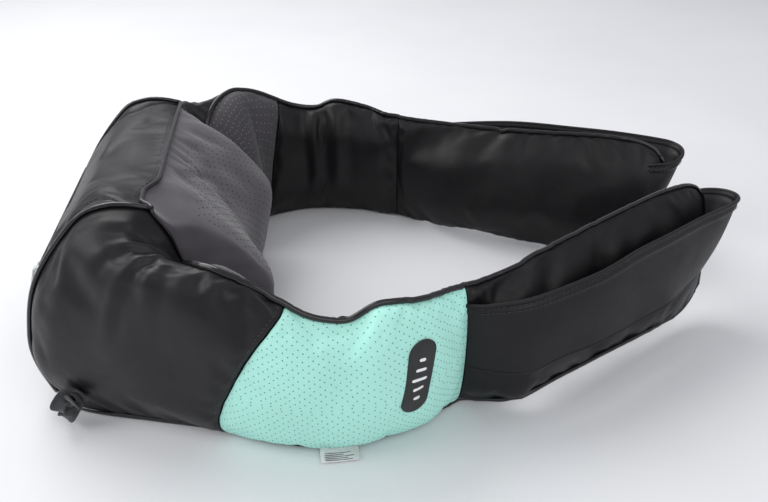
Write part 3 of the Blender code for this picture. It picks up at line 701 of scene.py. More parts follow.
def perforated(name, patch, finish, pitch, radius, proud, region, seed=3):
    """Holes over a panel, given as its grid, layout, columns and rows; region is two corners of the layout, mm."""
    (low_u, low_v), (high_u, high_v) = region
    obj = panel(name, *patch, finish, wall=0)
    TREES["perforations"].run(
        obj, Columns=int((high_u - low_u) / pitch) + 1, Rows=int(2 * (high_v - low_v) / pitch) + 1, Pitch=pitch * MM,
        Radius=radius * MM, Proud=proud * MM, Middle=((low_u + high_u) / 2 * MM, (low_v + high_v) / 2 * MM, 0.0),
        Seed=seed, Finish=FINISHES[finish])
    return obj


def stitched(name, paths, finish="thread", pitch=4.2, length=3.0, width=0.8, depth=0.6):
    """Stitches along one or more paths of points."""
    verts, edges = [], []
    for path in paths:
        start = len(verts)
        verts += (np.asarray(path, float) * MM).tolist()
        edges += [(start + i, start + i + 1) for i in range(len(path) - 1)]
    mesh = bpy.data.meshes.new(name)
    mesh.from_pydata(verts, edges, [])
    return TREES["stitches"].run(linked(name, mesh), Pitch=pitch * MM, Length=length * MM, Width=width * MM,
                                 Depth=depth * MM, Finish=FINISHES[finish])


# ---------------------------------------------------------------- pillow

SEAM_COLUMN, PILLOW_COLUMNS = 4, 73


def pillow_columns():
    """Where each column of the pillow's grid lies across it: the gusset narrows to nothing at the front edge."""
    rows = np.arange(FRONT_ROWS + TOP_ROWS + BOTTOM_ROWS)
    over = rows - FRONT_ROWS
    gusset = np.where((over >= 0) & (over <= TOP_ROWS), 1.8 + 16 * ease(over / 9), 6.0)
    places = np.arange(PILLOW_COLUMNS)
    return np.stack([np.interp(places, [0, SEAM_COLUMN, PILLOW_COLUMNS - 1 - SEAM_COLUMN, PILLOW_COLUMNS - 1],
                               [-HALF_WIDTH, w - HALF_WIDTH, HALF_WIDTH - w, HALF_WIDTH]) for w in gusset], 1)


def pillow_body():
    """The pillow's stuffed skin as a grid, with its seams, creases and crumples."""
    grid = pillow_section(pillow_columns())
    held = np.zeros(grid.shape[:2])
    held[[0, 1, -2, -1]] = 1
    held[:, [0, FRONT_ROWS]] = 1
    held[:, FRONT_ROWS + TOP_ROWS:] = 1
    held[[SEAM_COLUMN, -1 - SEAM_COLUMN], FRONT_ROWS:FRONT_ROWS + TOP_ROWS] = 0.75
    sewn = grid
    grid = stuffed(grid, held, 2.2, -0.02, 3.5)
    x, y, z = sewn[..., 0], sewn[..., 1], sewn[..., 2]
    channel = ease((94 - np.abs(y)) / 8) * ease((26 - np.abs(z - 110)) / 10) * (x < -262)
    grid = grid + (sewn - grid) * channel[..., None]
    normal = outward(grid)
    y, rows = grid[..., 1], np.broadcast_to(np.arange(grid.shape[1]), grid.shape[:2])
    share = np.clip(rows / FRONT_ROWS, 0, 1)
    face = (rows < FRONT_ROWS) & (rows > 0)
    free = np.where(face, np.clip(share * 8, 0, 1) * np.clip((1 - share) * 12, 0, 1), 0) * ease((103 - np.abs(y)) / 12)
    push = np.zeros_like(grid)
    for centre, size, depth, turn in (((-6, 0.80), (3.2, 17), -4.2, 62), ((-3, 0.83), (4.5, 16), 2.6, 62),
                                      ((14, 0.77), (5, 13), -1.6, 70), ((34, 0.86), (4, 18), -1.3, 80),
                                      ((48, 0.8), (5, 20), -1.0, 95), ((-30, 0.9), (4, 10), -1.0, 75)):
        push += fold(normal, y, share * 130, (centre[0], centre[1] * 130), size, depth, turn)
    push += normal * (ripple(y, share * 150, 4, 26, 0.45) * (0.5 + share))[..., None]
    grid = grid + push * free[..., None]
    top = (rows > FRONT_ROWS) & (rows < FRONT_ROWS + TOP_ROWS)
    over = np.clip((rows - FRONT_ROWS) / TOP_ROWS, 0, 1)
    loose = np.where(top, ease((100 - np.abs(y)) / 12) * np.clip(over * 12, 0, 1) * np.clip((1 - over) * 8, 0, 1), 0)
    sag = -2.6 * bell(over - 0.25, 0.35) * bell(y, 70)
    line = -1.3 * bell(y + 66 + 12 * over, 2.2) * ease(over / 0.1) + 0.9 * bell(y + 70 + 12 * over, 4)
    seam = -2.4 * bell(columns_from_seam(grid), 0.9)
    sag = sag + 2.8 * bell(grid[..., 2] - 110, 26) * (grid[..., 0] < -262)
    lift = (sag + line + ripple(y, over * 250, 8, 60, 0.5)) * loose + np.where(top, seam, 0)
    return grid + normal * lift[..., None]


def columns_from_seam(grid):
    """How many columns each point of the pillow lies from the nearer gusset seam."""
    place = np.arange(len(grid))
    nearer = np.minimum(np.abs(place - SEAM_COLUMN), np.abs(place - (len(grid) - 1 - SEAM_COLUMN)))
    return np.broadcast_to(nearer[:, None], grid.shape[:2]).astype(float)


def make_pillow():
    """The pillow: knitted front, leather top and back, gussets, underside, seams and piping."""
    grid = pillow_body()
    BODIES["pillow"] = grid
    flat = laid_flat(grid, grid[..., 1] + HALF_WIDTH)
    first, last, end = FRONT_ROWS, FRONT_ROWS + TOP_ROWS, PILLOW_COLUMNS - 1
    front = panel("mesh_front", grid, flat, (0, end), (0, first), "grey_mesh")
    # painted highlight: the top panel and gussets take the lighter, lit copy of the black leather
    top = panel("top_panel", grid, flat, (SEAM_COLUMN, end - SEAM_COLUMN), (first, last), "top_leather")
    sole = panel("underside", grid, flat, (0, end), (last, grid.shape[1]), "webbing")
    sides = [panel(f"{side}_gusset", grid, flat, columns, (first, last), "top_leather")
             for side, columns in (("right", (0, SEAM_COLUMN)), ("left", (end - SEAM_COLUMN, end)))]
    for piece in (front, top, sole, *sides):
        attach(piece, "pillow")
    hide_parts("mesh_cover")
    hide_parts("top_cover", "back_cover")
    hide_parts("bottom_cover")
    dots = perforated("front_perforations", (grid, flat, (0, end), (0, first)), "dark_hole", 9.0, 0.55, 0.1,
                      ((20, 15), (190, 175)), 5)
    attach(dots, "pillow")
    normal = outward(grid)
    edge = grid[:, first] + normal[:, first] * 1.2
    # painted highlight: the front edge's cord takes the lighter, lit copy of the piping's leather
    cords = [cord_along("front_piping", edge[1:-1], 1.7, "front_piping", sides=10)]
    for column, side in ((0, "right"), (end, "left")):
        ring = grid[column] + normal[column] * 1.0
        cords.append(cord_along(f"{side}_top_piping", ring[first:last], 2.0, "piping", sides=10))
        cords.append(cord_along(f"{side}_front_piping", ring[1:first + 1], 1.5, "piping", sides=10))
    for column in (SEAM_COLUMN, end - SEAM_COLUMN):
        cords.append(cord_along("seam", (grid[column] + normal[column] * 0.2)[first + 1:last], 0.7, "piping", sides=6))
    piping = joined("pillow_piping", *cords)
    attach(piping, "pillow")
    paths = []
    for column in (SEAM_COLUMN + 1, end - SEAM_COLUMN - 1):
        paths.append((grid[column] + normal[column] * 0.2)[first + 3:last - 2])
    paths.append((grid[:, first + 1] + normal[:, first + 1] * 0.3)[7:-7])
    threads = stitched("pillow_stitches", paths)
    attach(threads, "pillow")


# ---------------------------------------------------------------- arms

ROOT_FIRST, ROOT_SECOND = 46, 64
SEAM_AT = {"outer_low": -151.0, "top": -104.0, "inner_low": -138.0}  # x of the seam where mint and slate panels start


def half_ring(power, rows, start, stop):
    """A rounded half section from one end of its girth to the other, as (across, up) shares."""
    angle = np.linspace(start, stop, 200)
    c, s = np.cos(angle), np.sin(angle)
    across = 0.5 + 0.5 * np.sign(c) * np.abs(c) ** (2 / power)
    up = 0.5 + 0.5 * np.sign(s) * np.abs(s) ** (2 / power)
    return even(np.stack([across, up], 1), rows)


def pad_ring(power, outer, inner, sole):
    """A pad's section as shares: up the outer side, down the inner side, and back along the narrow sole."""
    out = half_ring(power, outer, -math.pi / 2 + 0.1, math.pi / 2)
    back = half_ring(power, inner, math.pi / 2, 3 * math.pi / 2 - 0.1)
    under = np.linspace(back[-1], out[0], sole + 1)
    return np.vstack([out[:-1], back[:-1], under[:-1]])


def pillow_ring():
    """The pillow's side section in the same rows as an arm's, as shares of its width and height."""
    over = even(TOP_CURVE, 60)[::-1]
    face = even(FRONT_CURVE, 80)[::-1]
    face = np.stack([face[:, 0] - lobe_depth(HALF_WIDTH, face[:, 1]), face[:, 1]], 1)
    split = np.argmin(np.abs(face[:, 1] - 112))
    out = even(np.vstack([over, face[1:split + 1]]), OUTER_ROWS)
    back = even(face[split:], INNER_ROWS)
    under = np.linspace(back[-1], out[0], SOLE_ROWS + 1)
    ring = np.vstack([out[:-1], back[:-1], under[:-1]])
    outer, _, inner, _, low, high, _ = ROOT_STATIONS[0]
    return np.stack([(ring[:, 0] - inner) / (outer - inner), (ring[:, 1] - low) / (high - low)], 1)


def root_grid():
    """An arm's root at +Y, from the pillow's side to the strap; one of its columns follows the slanted seam."""
    stations = np.array(ROOT_STATIONS)
    fine = np.linspace(0, len(stations) - 1, 900)
    spots = spline(stations, fine)
    middle = (spots[:, :2] * 0.6 + spots[:, 2:4] * 0.4)
    reach = walked(middle)
    centre_x = (spots[:, 0] + spots[:, 2]) / 2
    rows = OUTER_ROWS + INNER_ROWS + SOLE_ROWS
    row, level = np.arange(rows), pad_ring(2.6, OUTER_ROWS, INNER_ROWS, SOLE_ROWS)[:, 1]
    outer_low, top, inner_low = (np.interp(SEAM_AT[k], centre_x, reach) for k in ("outer_low", "top", "inner_low"))
    seam = np.select([row <= OUTER_ROWS, row <= OUTER_ROWS + INNER_ROWS],
                     [outer_low + (top - outer_low) * level**1.25, inner_low + (top - inner_low) * level],
                     np.interp(row, [OUTER_ROWS + INNER_ROWS, rows], [inner_low, outer_low]))
    share = np.concatenate([np.linspace(0, 1, ROOT_FIRST + 1), np.linspace(1, 2, ROOT_SECOND + 1)[1:]])[:, None]
    place = np.where(share <= 1, share * seam, seam + (share - 1) * (reach[-1] - seam))
    at = spline(stations, np.interp(place, reach, fine))
    power = np.interp(place / reach[-1], [0, 0.35, 0.6, 1], [3.4, 2.8, 2.3, 2.2])
    round_ring, boxy_ring = (pad_ring(p, OUTER_ROWS, INNER_ROWS, SOLE_ROWS) for p in (2.2, 3.4))
    boxy = ((power - 2.2) / 1.2)[..., None]
    pad = round_ring[None] * (1 - boxy) + boxy_ring[None] * boxy
    k = np.clip(at[..., 6:7], 0, 1)
    ring = pillow_ring()[None] * k + pad * (1 - k)
    across, up = ring[..., 0], ring[..., 1]
    x = at[..., 2] + (at[..., 0] - at[..., 2]) * across
    y = at[..., 3] + (at[..., 1] - at[..., 3]) * across
    z = at[..., 4] + (at[..., 5] - at[..., 4]) * up
    return np.stack([x, y, z], -1), place


def settle(grid, side):
    """Sets the arms apart: the right one's top edge sinks lower, the left one stands higher by the pillow."""
    x, z = grid[..., 0], grid[..., 2]
    if side == "right":
        drop = 7.5 * ease((x + 130) / 45) * (1 - ease((x - 40) / 60))
        grid[..., 2] -= drop * np.clip(z / 128, 0, 1) ** 1.5
    else:
        grid[..., 2] += 7 * bell(x + 138, 34) * np.clip(z / 150, 0, 1) ** 2


ROOT_FOLDS = (  # on the outer black panel: (column %, row %), (width, length), depth mm, turn
    ((24, 88), (2.6, 15), 3.0, 8), ((30, 86), (2.2, 16), -3.2, 12), ((38, 84), (3.0, 15), 3.2, 20),
    ((44, 80), (2.4, 12), -2.8, 26), ((16, 90), (2.2, 13), -2.6, -4), ((52, 76), (3.4, 12), 3.4, 32),
    ((59, 72), (3, 12), -2.4, 24), ((46, 60), (2.6, 10), 2.2, 8), ((50, 57), (2.6, 10), -2.2, 6),
    ((68, 84), (3.4, 10), -2.0, 40), ((76, 80), (4, 14), 2.6, 52), ((12, 80), (2.4, 12), 1.8, -16),
)


def root_body(side):
    """One arm root as a stuffed grid with its folds."""
    grid, place = root_grid()
    settle(grid, side)
    grid[..., 1] *= SIDES[side]
    top, low = OUTER_ROWS, OUTER_ROWS + INNER_ROWS
    held = np.zeros(grid.shape[:2])
    held[[0, 1, -2, -1]] = 1
    held[:, [0, top, low]] = 1
    held[:, low:] = 1
    held[ROOT_FIRST, :low] = 0.75
    grid = stuffed(grid, held, 2.4, -0.022, 3.6)
    normal = outward(grid)
    columns, rows = np.indices(grid.shape[:2]).astype(float)
    c = columns / ROOT_FIRST * 100
    r = rows / OUTER_ROWS * 100
    x, z = grid[..., 0], grid[..., 2]
    outer, inner = rows < top, (rows > top) & (rows < low)
    edge = np.minimum(np.abs(rows - top), np.minimum(rows, np.abs(rows - low)))
    ends = np.minimum(columns, len(grid) - 1 - columns)
    free = ease(edge / 4) * ease(ends / 3)
    push = np.zeros_like(grid)
    for centre, size, depth, turn in ROOT_FOLDS:
        push += fold(normal, c, r, centre, size, depth, turn) * outer[..., None]
    mint = outer & (columns > ROOT_FIRST)
    dent = -4.0 * bell(x + 66, 15) * ease((z - 40) / 60) + 2.2 * bell(x + 36, 17) * ease((z - 20) / 50)
    waves = sum(height * bell(x + at, width) for at, width, height in
                ((78, 7, -2.4), (66, 6, 3.0), (54, 7, -2.6), (41, 6, 2.2), (28, 8, -1.8)))
    waves = waves * ease((z - 15) / 50) * ease((132 - z) / 12)
    push += normal * (np.where(mint, dent, 0) + np.where(inner & (columns > ROOT_FIRST), waves, 0))[..., None]
    push += normal * (ripple(c, r, 11 + SIDES[side], 34, 0.55))[..., None]
    seam = -1.3 * bell(columns - ROOT_FIRST, 0.9) * (outer | inner)
    grid = grid + push * free[..., None] + normal * (seam * ease(edge / 2))[..., None]
    return grid, laid_flat(grid, place * 1.08)


def strap_grid():
    """A strap at +Y, from the mint panel's end to its tip, before its lean."""
    stations = np.array(STRAP_STATIONS)
    at = spline(stations, np.linspace(0, len(stations) - 1, STRAP_COLUMNS))
    tip = at[-1:].copy()
    heading = unit(at[-1, :2] - at[-4, :2])
    extra = []
    for ahead, half, drop in ((2.2, 3.4, 3), (3.6, 1.6, 6), (4.2, 0.5, 8)):
        row = tip[0].copy()
        row[:2] += heading * ahead
        row[2], row[3], row[4] = half, row[3] + drop, row[4] - drop
        extra.append(row)
    at = np.vstack([at, extra])
    heading = unit(np.gradient(at[:, :2], axis=0))
    ring = pad_ring(2.2, STRAP_ROWS, INNER_ROWS, SOLE_ROWS)
    side = np.stack([-heading[:, 1], heading[:, 0]], 1)
    offset = (ring[None, :, 0] - 0.5) * 2 * at[:, 2:3]
    x = at[:, 0:1] + side[:, 0:1] * offset
    y = at[:, 1:2] + side[:, 1:2] * offset
    z = at[:, 3:4] + (at[:, 4:5] - at[:, 3:4]) * ring[None, :, 1]
    return np.stack([x, y, z], -1)


def strap_body(side):
    """One strap as a stuffed grid with its folds."""
    grid = strap_grid()
    settle(grid, side)
    grid[..., 1] *= SIDES[side]
    grid = leaned(grid)
    top, low = STRAP_ROWS, STRAP_ROWS + INNER_ROWS
    held = np.zeros(grid.shape[:2])
    held[[0, 1, -3, -2, -1]] = 1
    held[:, [0, top, low]] = 1
    held[:, low:] = 1
    grid = stuffed(grid, held, 2.0, -0.018, 3.2)
    normal = outward(grid)
    columns, rows = np.indices(grid.shape[:2]).astype(float)
    edge = np.minimum(np.abs(rows - top), np.minimum(rows, np.abs(rows - low)))
    free = ease(edge / 5) * ease(np.minimum(columns, len(grid) - 1 - columns) / 4)
    x, z = grid[..., 0], grid[..., 2]
    outer = rows < top
    folds = (2.0 * bell(x - 172, 6) - 1.6 * bell(x - 186, 7) + 1.2 * bell(x - 232, 8) - 1.0 * bell(x - 90, 12)) * outer
    waves = (1.6 * bell(x - 120 - (z - 60) * 0.3, 14) - 1.8 * bell(x - 240, 16) - 1.3 * bell(x - 70, 10)) * ~outer
    lift = folds * ease((z - 40) / 40) + waves + ripple(x, z, 21 + SIDES[side], 70, 0.7)
    return grid + normal * (lift * free)[..., None]


def bent(piece):
    """Fabric that crosses a hinge between two bodies: its transform is baked into its mesh, and it is bound to neither
    body.
    """
    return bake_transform(piece)


def bend_root(piece):
    """Fabric that crosses the shoulder hinge, with its transform baked in as bent() does."""
    return bent(piece)


def bend_strap(piece):
    """Fabric that crosses the strap hinge, with its transform baked in as bent() does."""
    return bent(piece)


def make_arm_root(side):
    """One arm root: black end panel, mint side panel, perforated and plain inner panels, piping and stitches."""
    grid, flat = root_body(side)
    BODIES[f"{side}_root"] = grid
    top, low, rows = OUTER_ROWS, OUTER_ROWS + INNER_ROWS, grid.shape[1]
    end = len(grid) - 1
    panels = {  # columns, rows, finish, slot, the frame's parts it stands for
        "end_panel": ((0, ROOT_FIRST), (0, top), "black_leather", "black_leather", [f"{side}_end_cushion"]),
        "side_cover": ((ROOT_FIRST, end), (0, top), "mint_leather", "mint_leather", [f"{side}_side_panel"]),
        "inner_patch": ((0, ROOT_FIRST), (top, low), "slate_mesh", "grey_mesh", []),
        # painted shade: the inner panel takes the darker, shaded copy of the black leather
        "inner_panel": ((ROOT_FIRST, end), (top, low), "strap_leather", "black_leather", [f"{side}_shoulder_pad"]),
        "root_sole": ((0, end), (low, rows), "black_leather", "black_leather", []),
    }
    for name, (columns, span, finish, slot, nodes) in panels.items():
        piece = bend_root(panel(f"{side}_{name}", grid, flat, columns, span, finish))
        if nodes:
            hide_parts(*nodes)
    u, v = flat[..., 0] / MM, flat[..., 1] / MM
    side_holes = perforated(
        f"{side}_side_perforations", (grid, flat, (ROOT_FIRST, end), (0, top)), "mint_hole", 7.0, 0.45, 0.08,
        ((u[ROOT_FIRST, :top].min() + 1, 4), (u[end].max() - 4, v[:, top].max() - 3)))
    patch_flat = laid_flat(grid, walked_rows(grid, ROOT_FIRST))
    patch_holes = perforated(
        f"{side}_patch_perforations", (grid, patch_flat, (0, ROOT_FIRST), (top, low)), "pale_hole", 10.5, 0.7, 0.1,
        ((130, v[:, top].min() + 2), (296, v[:, low].max() - 4)))
    normal = outward(grid)
    upper = (grid[:, top] + normal[:, top] * 1.6)[5:]
    under = (grid[:, 0] + normal[:, 0] * 1.2)[1:]
    under[:, 2] = np.maximum(under[:, 2], 2.4)
    cords = [cord_along("upper", upper, 2.3, "piping", sides=10), cord_along("under", under, 2.2, "piping", sides=10)]
    piping = joined(f"{side}_root_piping", *cords)
    seams = [(grid[ROOT_FIRST - 1] + normal[ROOT_FIRST - 1] * 0.3)[3:top - 2],
             (grid[ROOT_FIRST + 1] + normal[ROOT_FIRST + 1] * 0.3)[top + 3:low - 2]]
    threads = stitched(f"{side}_root_stitches", seams, pitch=3.6, length=2.4, width=0.6, depth=0.5)
    for piece, slot in ((side_holes, "mint_leather"), (patch_holes, "grey_mesh"), (piping, "black_leather"),
                        (threads, "black_leather")):
        bend_root(piece)


def make_strap(side):
    """One strap pad: outer and inner panels meeting in a piped seam that runs round the tip."""
    grid = strap_body(side)
    BODIES[f"{side}_strap"] = grid
    flat = girth(grid)
    top, low, rows = STRAP_ROWS, STRAP_ROWS + INNER_ROWS, grid.shape[1]
    end = len(grid) - 1
    # painted shade: both strap panels take the darker, shaded copy of the black leather
    made = [panel(f"{side}_strap_outer", grid, flat, (0, end), (0, top), "strap_leather", 1.0),
            panel(f"{side}_strap_inner", grid, flat, (0, end), (top, rows), "strap_leather", 1.0)]
    normal = outward(grid)
    upper = (grid[:, top] + normal[:, top] * 1.3)[:-2]
    under = (grid[:, 0] + normal[:, 0] * 1.2)[:-2]
    under[:, 2] = np.maximum(under[:, 2], 2.4)
    tip = grid[end, :top][::-1]
    tip = tip + unit(grid[end] - grid[end - 6]).mean(0) * 1.0
    seam = np.vstack([upper, tip[3:-3:2], under[::-1]])
    made.append(cord_along(f"{side}_strap_piping", seam, 2.1, "piping", sides=10))
    for piece in made:
        bend_strap(piece)
    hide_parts(f"{side}_strap_pad")


MINT_STRIP_COLUMNS = slice(28, 68)  # the band's columns where a thin mint strip shows below its lower edge


def make_hand_band(side):
    """The broad band outside the strap that a hand slips under: a hemmed sheet, sewn down at both ends."""
    sign = SIDES[side]
    line = even(BAND_STATIONS, 130)
    height = np.concatenate([np.linspace(0, 0.86, 15), np.linspace(0.885, 1, 8)])
    heading = unit(np.gradient(line[:, :2], axis=0))
    out = np.stack([-heading[:, 1], heading[:, 0]], 1)
    grid = np.empty((len(line), len(height), 3))
    belly = 1.8 * np.sin(np.pi * height)[None] * ease(np.arange(len(line)) / 20)[:, None]
    hem = 0.9 * ease((height - 0.87) / 0.015) - bell(height - 0.872, 0.012) - 1.1 * bell(height - 0.955, 0.012)
    tuck = -7.0 * (1 - height)[None] * ease((np.arange(len(line)) - 8) / 25)[:, None]
    lift = belly + hem[None] + tuck
    grid[..., 0] = line[:, 0:1] + out[:, 0:1] * lift
    grid[..., 1] = (line[:, 1:2] + out[:, 1:2] * lift) * sign
    grid[..., 2] = line[:, 2:3] + (line[:, 3:4] - line[:, 2:3]) * height[None]
    grid[..., 0] -= 24 * (1 - height)[None] * ease((line[:, 0:1] - 215) / 90)
    walk = np.arange(len(line))[:, None]
    wave = ripple(walk * 2.0, height[None] * 60, 31 + sign, 70, 0.7) * (walk > 6)
    grid[..., 1] += wave * sign
    grid = leaned(grid)
    flat = girth(grid)[:, :-1]
    faces = sheet_faces(*grid.shape[:2], flip=sign > 0)
    band = mesh_from(f"{side}_band", grid.reshape(-1, 3), faces, "band_leather", flat.reshape(-1, 2))
    finished(band, 2.2)
    normal = np.stack([out[:, 0], out[:, 1] * sign, 0 * out[:, 0]], 1)
    roll = cord_along("roll", grid[:, -1] - normal * 1.0, 1.7, "band_leather", sides=10)
    lower = cord_along("lower", grid[:, 0] - normal * 1.0, 1.3, "band_leather", sides=8)
    hems = joined(f"{side}_band_hems", roll, lower)
    threads = stitched(f"{side}_band_stitches", [(grid[:, row] + normal * 0.35)[3:-3] for row in (16, 20)], pitch=4.0)
    # a thin mint strip, set just inside and below the band's lower edge along these columns
    mint_strip = grid[MINT_STRIP_COLUMNS, :2].copy()
    mint_strip[:, 0, 2] -= 3.2 * np.sin(np.pi * np.linspace(0, 1, len(mint_strip)))
    mint_strip -= normal[MINT_STRIP_COLUMNS, None] * 1.2
    faces = sheet_faces(*mint_strip.shape[:2], flip=sign > 0)
    strip = mesh_from(f"{side}_band_lining", mint_strip.reshape(-1, 3), faces, "mint_leather",
                      flat[MINT_STRIP_COLUMNS, :2].reshape(-1, 2))
    finished(strip, 0.8)
    for piece, slot in ((band, "black_leather"), (hems, "black_leather"), (threads, "black_leather"),
                        (strip, "mint_leather")):
        bend_strap(piece)
    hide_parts(f"{side}_hand_band")


# ---------------------------------------------------------------- trim

def on_surface(grid, u, v, lift):
    """Points on a grid at fractional column u and row v, raised along the normals."""
    columns, rows = grid.shape[:2]
    normal = outward(grid)
    i, j = np.clip(u.astype(int), 0, columns - 2), np.clip(v.astype(int), 0, rows - 2)
    s, t = (u - i)[..., None], (v - j)[..., None]

    def mix(a):
        return ((a[i, j] * (1 - s) + a[i + 1, j] * s) * (1 - t)
                + (a[i, j + 1] * (1 - s) + a[i + 1, j + 1] * s) * t)

    return mix(grid) + unit(mix(normal)) * np.asarray(lift)[..., None]


def surface_place(grid, x, z, last_row):
    """The fractional column and row of a body's outer panel nearest to each (x, z)."""
    part = grid[:, :last_row]
    found = []
    for a, b in zip(np.ravel(x), np.ravel(z)):
        gap = (part[..., 0] - a) ** 2 + (part[..., 2] - b) ** 2
        i, j = np.unravel_index(np.argmin(gap), gap.shape)
        i, j = min(max(i, 1), part.shape[0] - 2), min(max(j, 1), part.shape[1] - 2)
        du, dv = (part[i + 1, j] - part[i - 1, j]) / 2, (part[i, j + 1] - part[i, j - 1]) / 2
        system = np.array([[du[0], dv[0]], [du[2], dv[2]]])
        step = np.linalg.solve(system, np.array([a - part[i, j, 0], b - part[i, j, 2]]))
        found.append((i + np.clip(step[0], -1.5, 1.5), j + np.clip(step[1], -1.5, 1.5)))
    found = np.array(found).reshape(*np.shape(x), 2)
    return found[..., 0], found[..., 1]


def capsule(half_length, half_width, rings, around=40):
    """Rings of points that fill a capsule outline, from its middle to its edge, as (across, along)."""
    angle = np.arange(around) * math.tau / around
    edge = np.stack([np.cos(angle) * half_width, np.sin(angle) * half_width], 1)
    edge[:, 1] += np.sign(np.sin(angle)) * (half_length - half_width)
    return [edge * share for share in rings]


def badge_patch(name, grid, centre, tilt, half_length, half_width, base, crown, finish):
    """A low raised capsule that follows the side panel."""
    shares = (0.02, 0.4, 0.75, 0.9, 0.97, 1.0, 1.0)
    heights = (crown, crown, crown, crown - 0.1, crown - 0.35, crown - 0.8, base)
    rings = capsule(half_length, half_width, shares)
    a = math.radians(tilt)
    verts = []
    for ring, height in zip(rings, heights):
        x = centre[0] + ring[:, 0] * math.cos(a) + ring[:, 1] * math.sin(a)
        z = centre[1] - ring[:, 0] * math.sin(a) + ring[:, 1] * math.cos(a)
        u, v = surface_place(grid, x, z, OUTER_ROWS)
        verts.append(on_surface(grid, u, v, np.full(len(ring), height)))
    count = len(rings[0])
    points = np.concatenate(verts)
    faces = sheet_faces(len(rings), count, wrap=True, flip=True)
    faces.append(tuple(range(count)))
    faces.append(tuple(len(points) - count + j for j in reversed(range(count))))
    obj = faces_outward(mesh_from(name, points, faces, finish))
    obj.data.set_sharp_from_angle(angle=math.radians(40))
    return obj


def box_in_mm(node):
    """Lowest and highest corner of one of the frame's parts, in mm."""
    return (np.array(corner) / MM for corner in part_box(node))


def make_badge():
    """The capsule badge on the right arm, with a plain mark of rounded bars."""
    grid = BODIES["right_root"]
    low, high = box_in_mm("badge")
    centre = ((low[0] + high[0]) / 2, (low[2] + high[2]) / 2)
    tilt, look = 8.0, chosen()
    badge = badge_patch("badge_plate", grid, centre, tilt, look.badge_length / 2, look.badge_width / 2, -0.6, 1.9,
                        "button_rubber")
    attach(badge, "right_shoulder")
    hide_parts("badge")
    a = math.radians(tilt)
    bars = []
    for number, length in enumerate((2.6, 4.4, 6.0, 4.4, 2.6)):
        along = (number - 2) * 8.2
        spot = (centre[0] + along * math.sin(a), centre[1] + along * math.cos(a))
        bars.append(badge_patch(f"bar{number}", grid, spot, tilt + 90, length, 1.3, 1.7, 2.15, "mark_white"))
    mark = joined("badge_mark", *bars)
    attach(mark, "right_shoulder")


def make_label():
    """The folded care label that sticks out below the right arm, with plain bars for its print."""
    low, high = box_in_mm("care_label")
    wide, deep = np.linspace(low[0], high[0], 12), np.linspace(0, 1, 10)
    fold_y = high[1] + 9  # the sheet starts above the arm's seam and slopes down to the label's free edge
    x = wide[:, None] + 0 * deep[None]
    y = fold_y - (fold_y - low[1] - 1.0) * deep[None] + 0 * x
    z = 4.5 - 3.0 * ease(deep * 1.6)[None] + 0.5 * np.sin(wide / 5.0)[:, None] * deep[None]
    grid = np.stack([x, y, np.maximum(z, 1.3)], -1)
    sheet = finished(mesh_from("care_tag", grid.reshape(-1, 3), sheet_faces(*grid.shape[:2]), "label"), 0.5)
    lines = []
    for number, (start, stop) in enumerate(((0.12, 0.82), (0.12, 0.7), (0.12, 0.86), (0.12, 0.6), (0.12, 0.78))):
        row = low[1] + 2.5 + number * 1.7
        xs = low[0] + (high[0] - low[0]) * np.linspace(start, stop, 14)
        level = np.interp(row, grid[0, ::-1, 1], grid[0, ::-1, 2])
        wave = 0.5 * np.sin(xs / 5.0) * (fold_y - row) / (fold_y - 1 - low[1])
        spot = np.stack([xs, np.full(len(xs), row), level + 0.35 + wave], 1)
        lines.append(cord_along(f"line{number}", spot, 0.32, "label_ink", sides=5))
    print_lines = joined("care_tag_lines", *lines)
    for piece in (sheet, print_lines):
        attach(piece, "right_shoulder")
    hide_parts("care_label")


def make_carry_loop():
    """The gathered webbing loop at the pillow's corner."""
    low, high = box_in_mm("carry_loop")
    middle, half = (low + high) / 2, (high - low) / 2
    middle = middle + (5, 3, -1)
    turns = np.linspace(0, 2.6 * math.tau, 110)
    swell = 0.58 + 0.27 * np.sin(turns * 0.7 + 1)
    ways = (swell * np.cos(turns), 0.7 * np.sin(turns * 1.5 + 0.6), swell * np.sin(turns * 1.1))
    path = middle + half * np.stack(ways, 1)
    tangent = unit(np.gradient(path, axis=0))
    across = unit(np.cross(tangent, (0.35, 0.8, 0.3)))
    rows = np.linspace(-6, 6, 7)
    curl = 2.6 * np.sin(turns * 3.1)[:, None] * (rows[None] / 6) ** 2
    thick = unit(np.cross(tangent, across))
    grid = path[:, None] + across[:, None] * rows[None, :, None] + thick[:, None] * curl[..., None]
    grid[..., 2] = np.maximum(grid[..., 2], 1.2)
    loop = finished(mesh_from("gathered_loop", grid.reshape(-1, 3), sheet_faces(*grid.shape[:2]), "webbing"), 1.3)
    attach(loop, "pillow")
    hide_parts("carry_loop")


def make_zip():
    """Teeth along the zip's tape."""
    low, high = box_in_mm("zip_tape")
    slope = math.radians(19.5)  # the back's lean where the tape is sewn on
    out, up = np.array([(-math.cos(slope), 0, math.sin(slope)), (math.sin(slope), 0, math.cos(slope))])
    face = np.array([(low[0] + high[0]) / 2, 0, (low[2] + high[2]) / 2]) + out * 0.9
    paths = []
    for side in (-1, 1):
        y = np.linspace(low[1] + 8 + side * 0.55, high[1] - 3 + side * 0.55, 80)
        paths.append(face[None] + up[None] * side * 1.1 + np.stack([0 * y, y, 0 * y], 1))
    teeth = stitched("zip_teeth", paths, "steel", 2.2, 1.1, 2.3, 1.3)
    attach(teeth, "pillow")


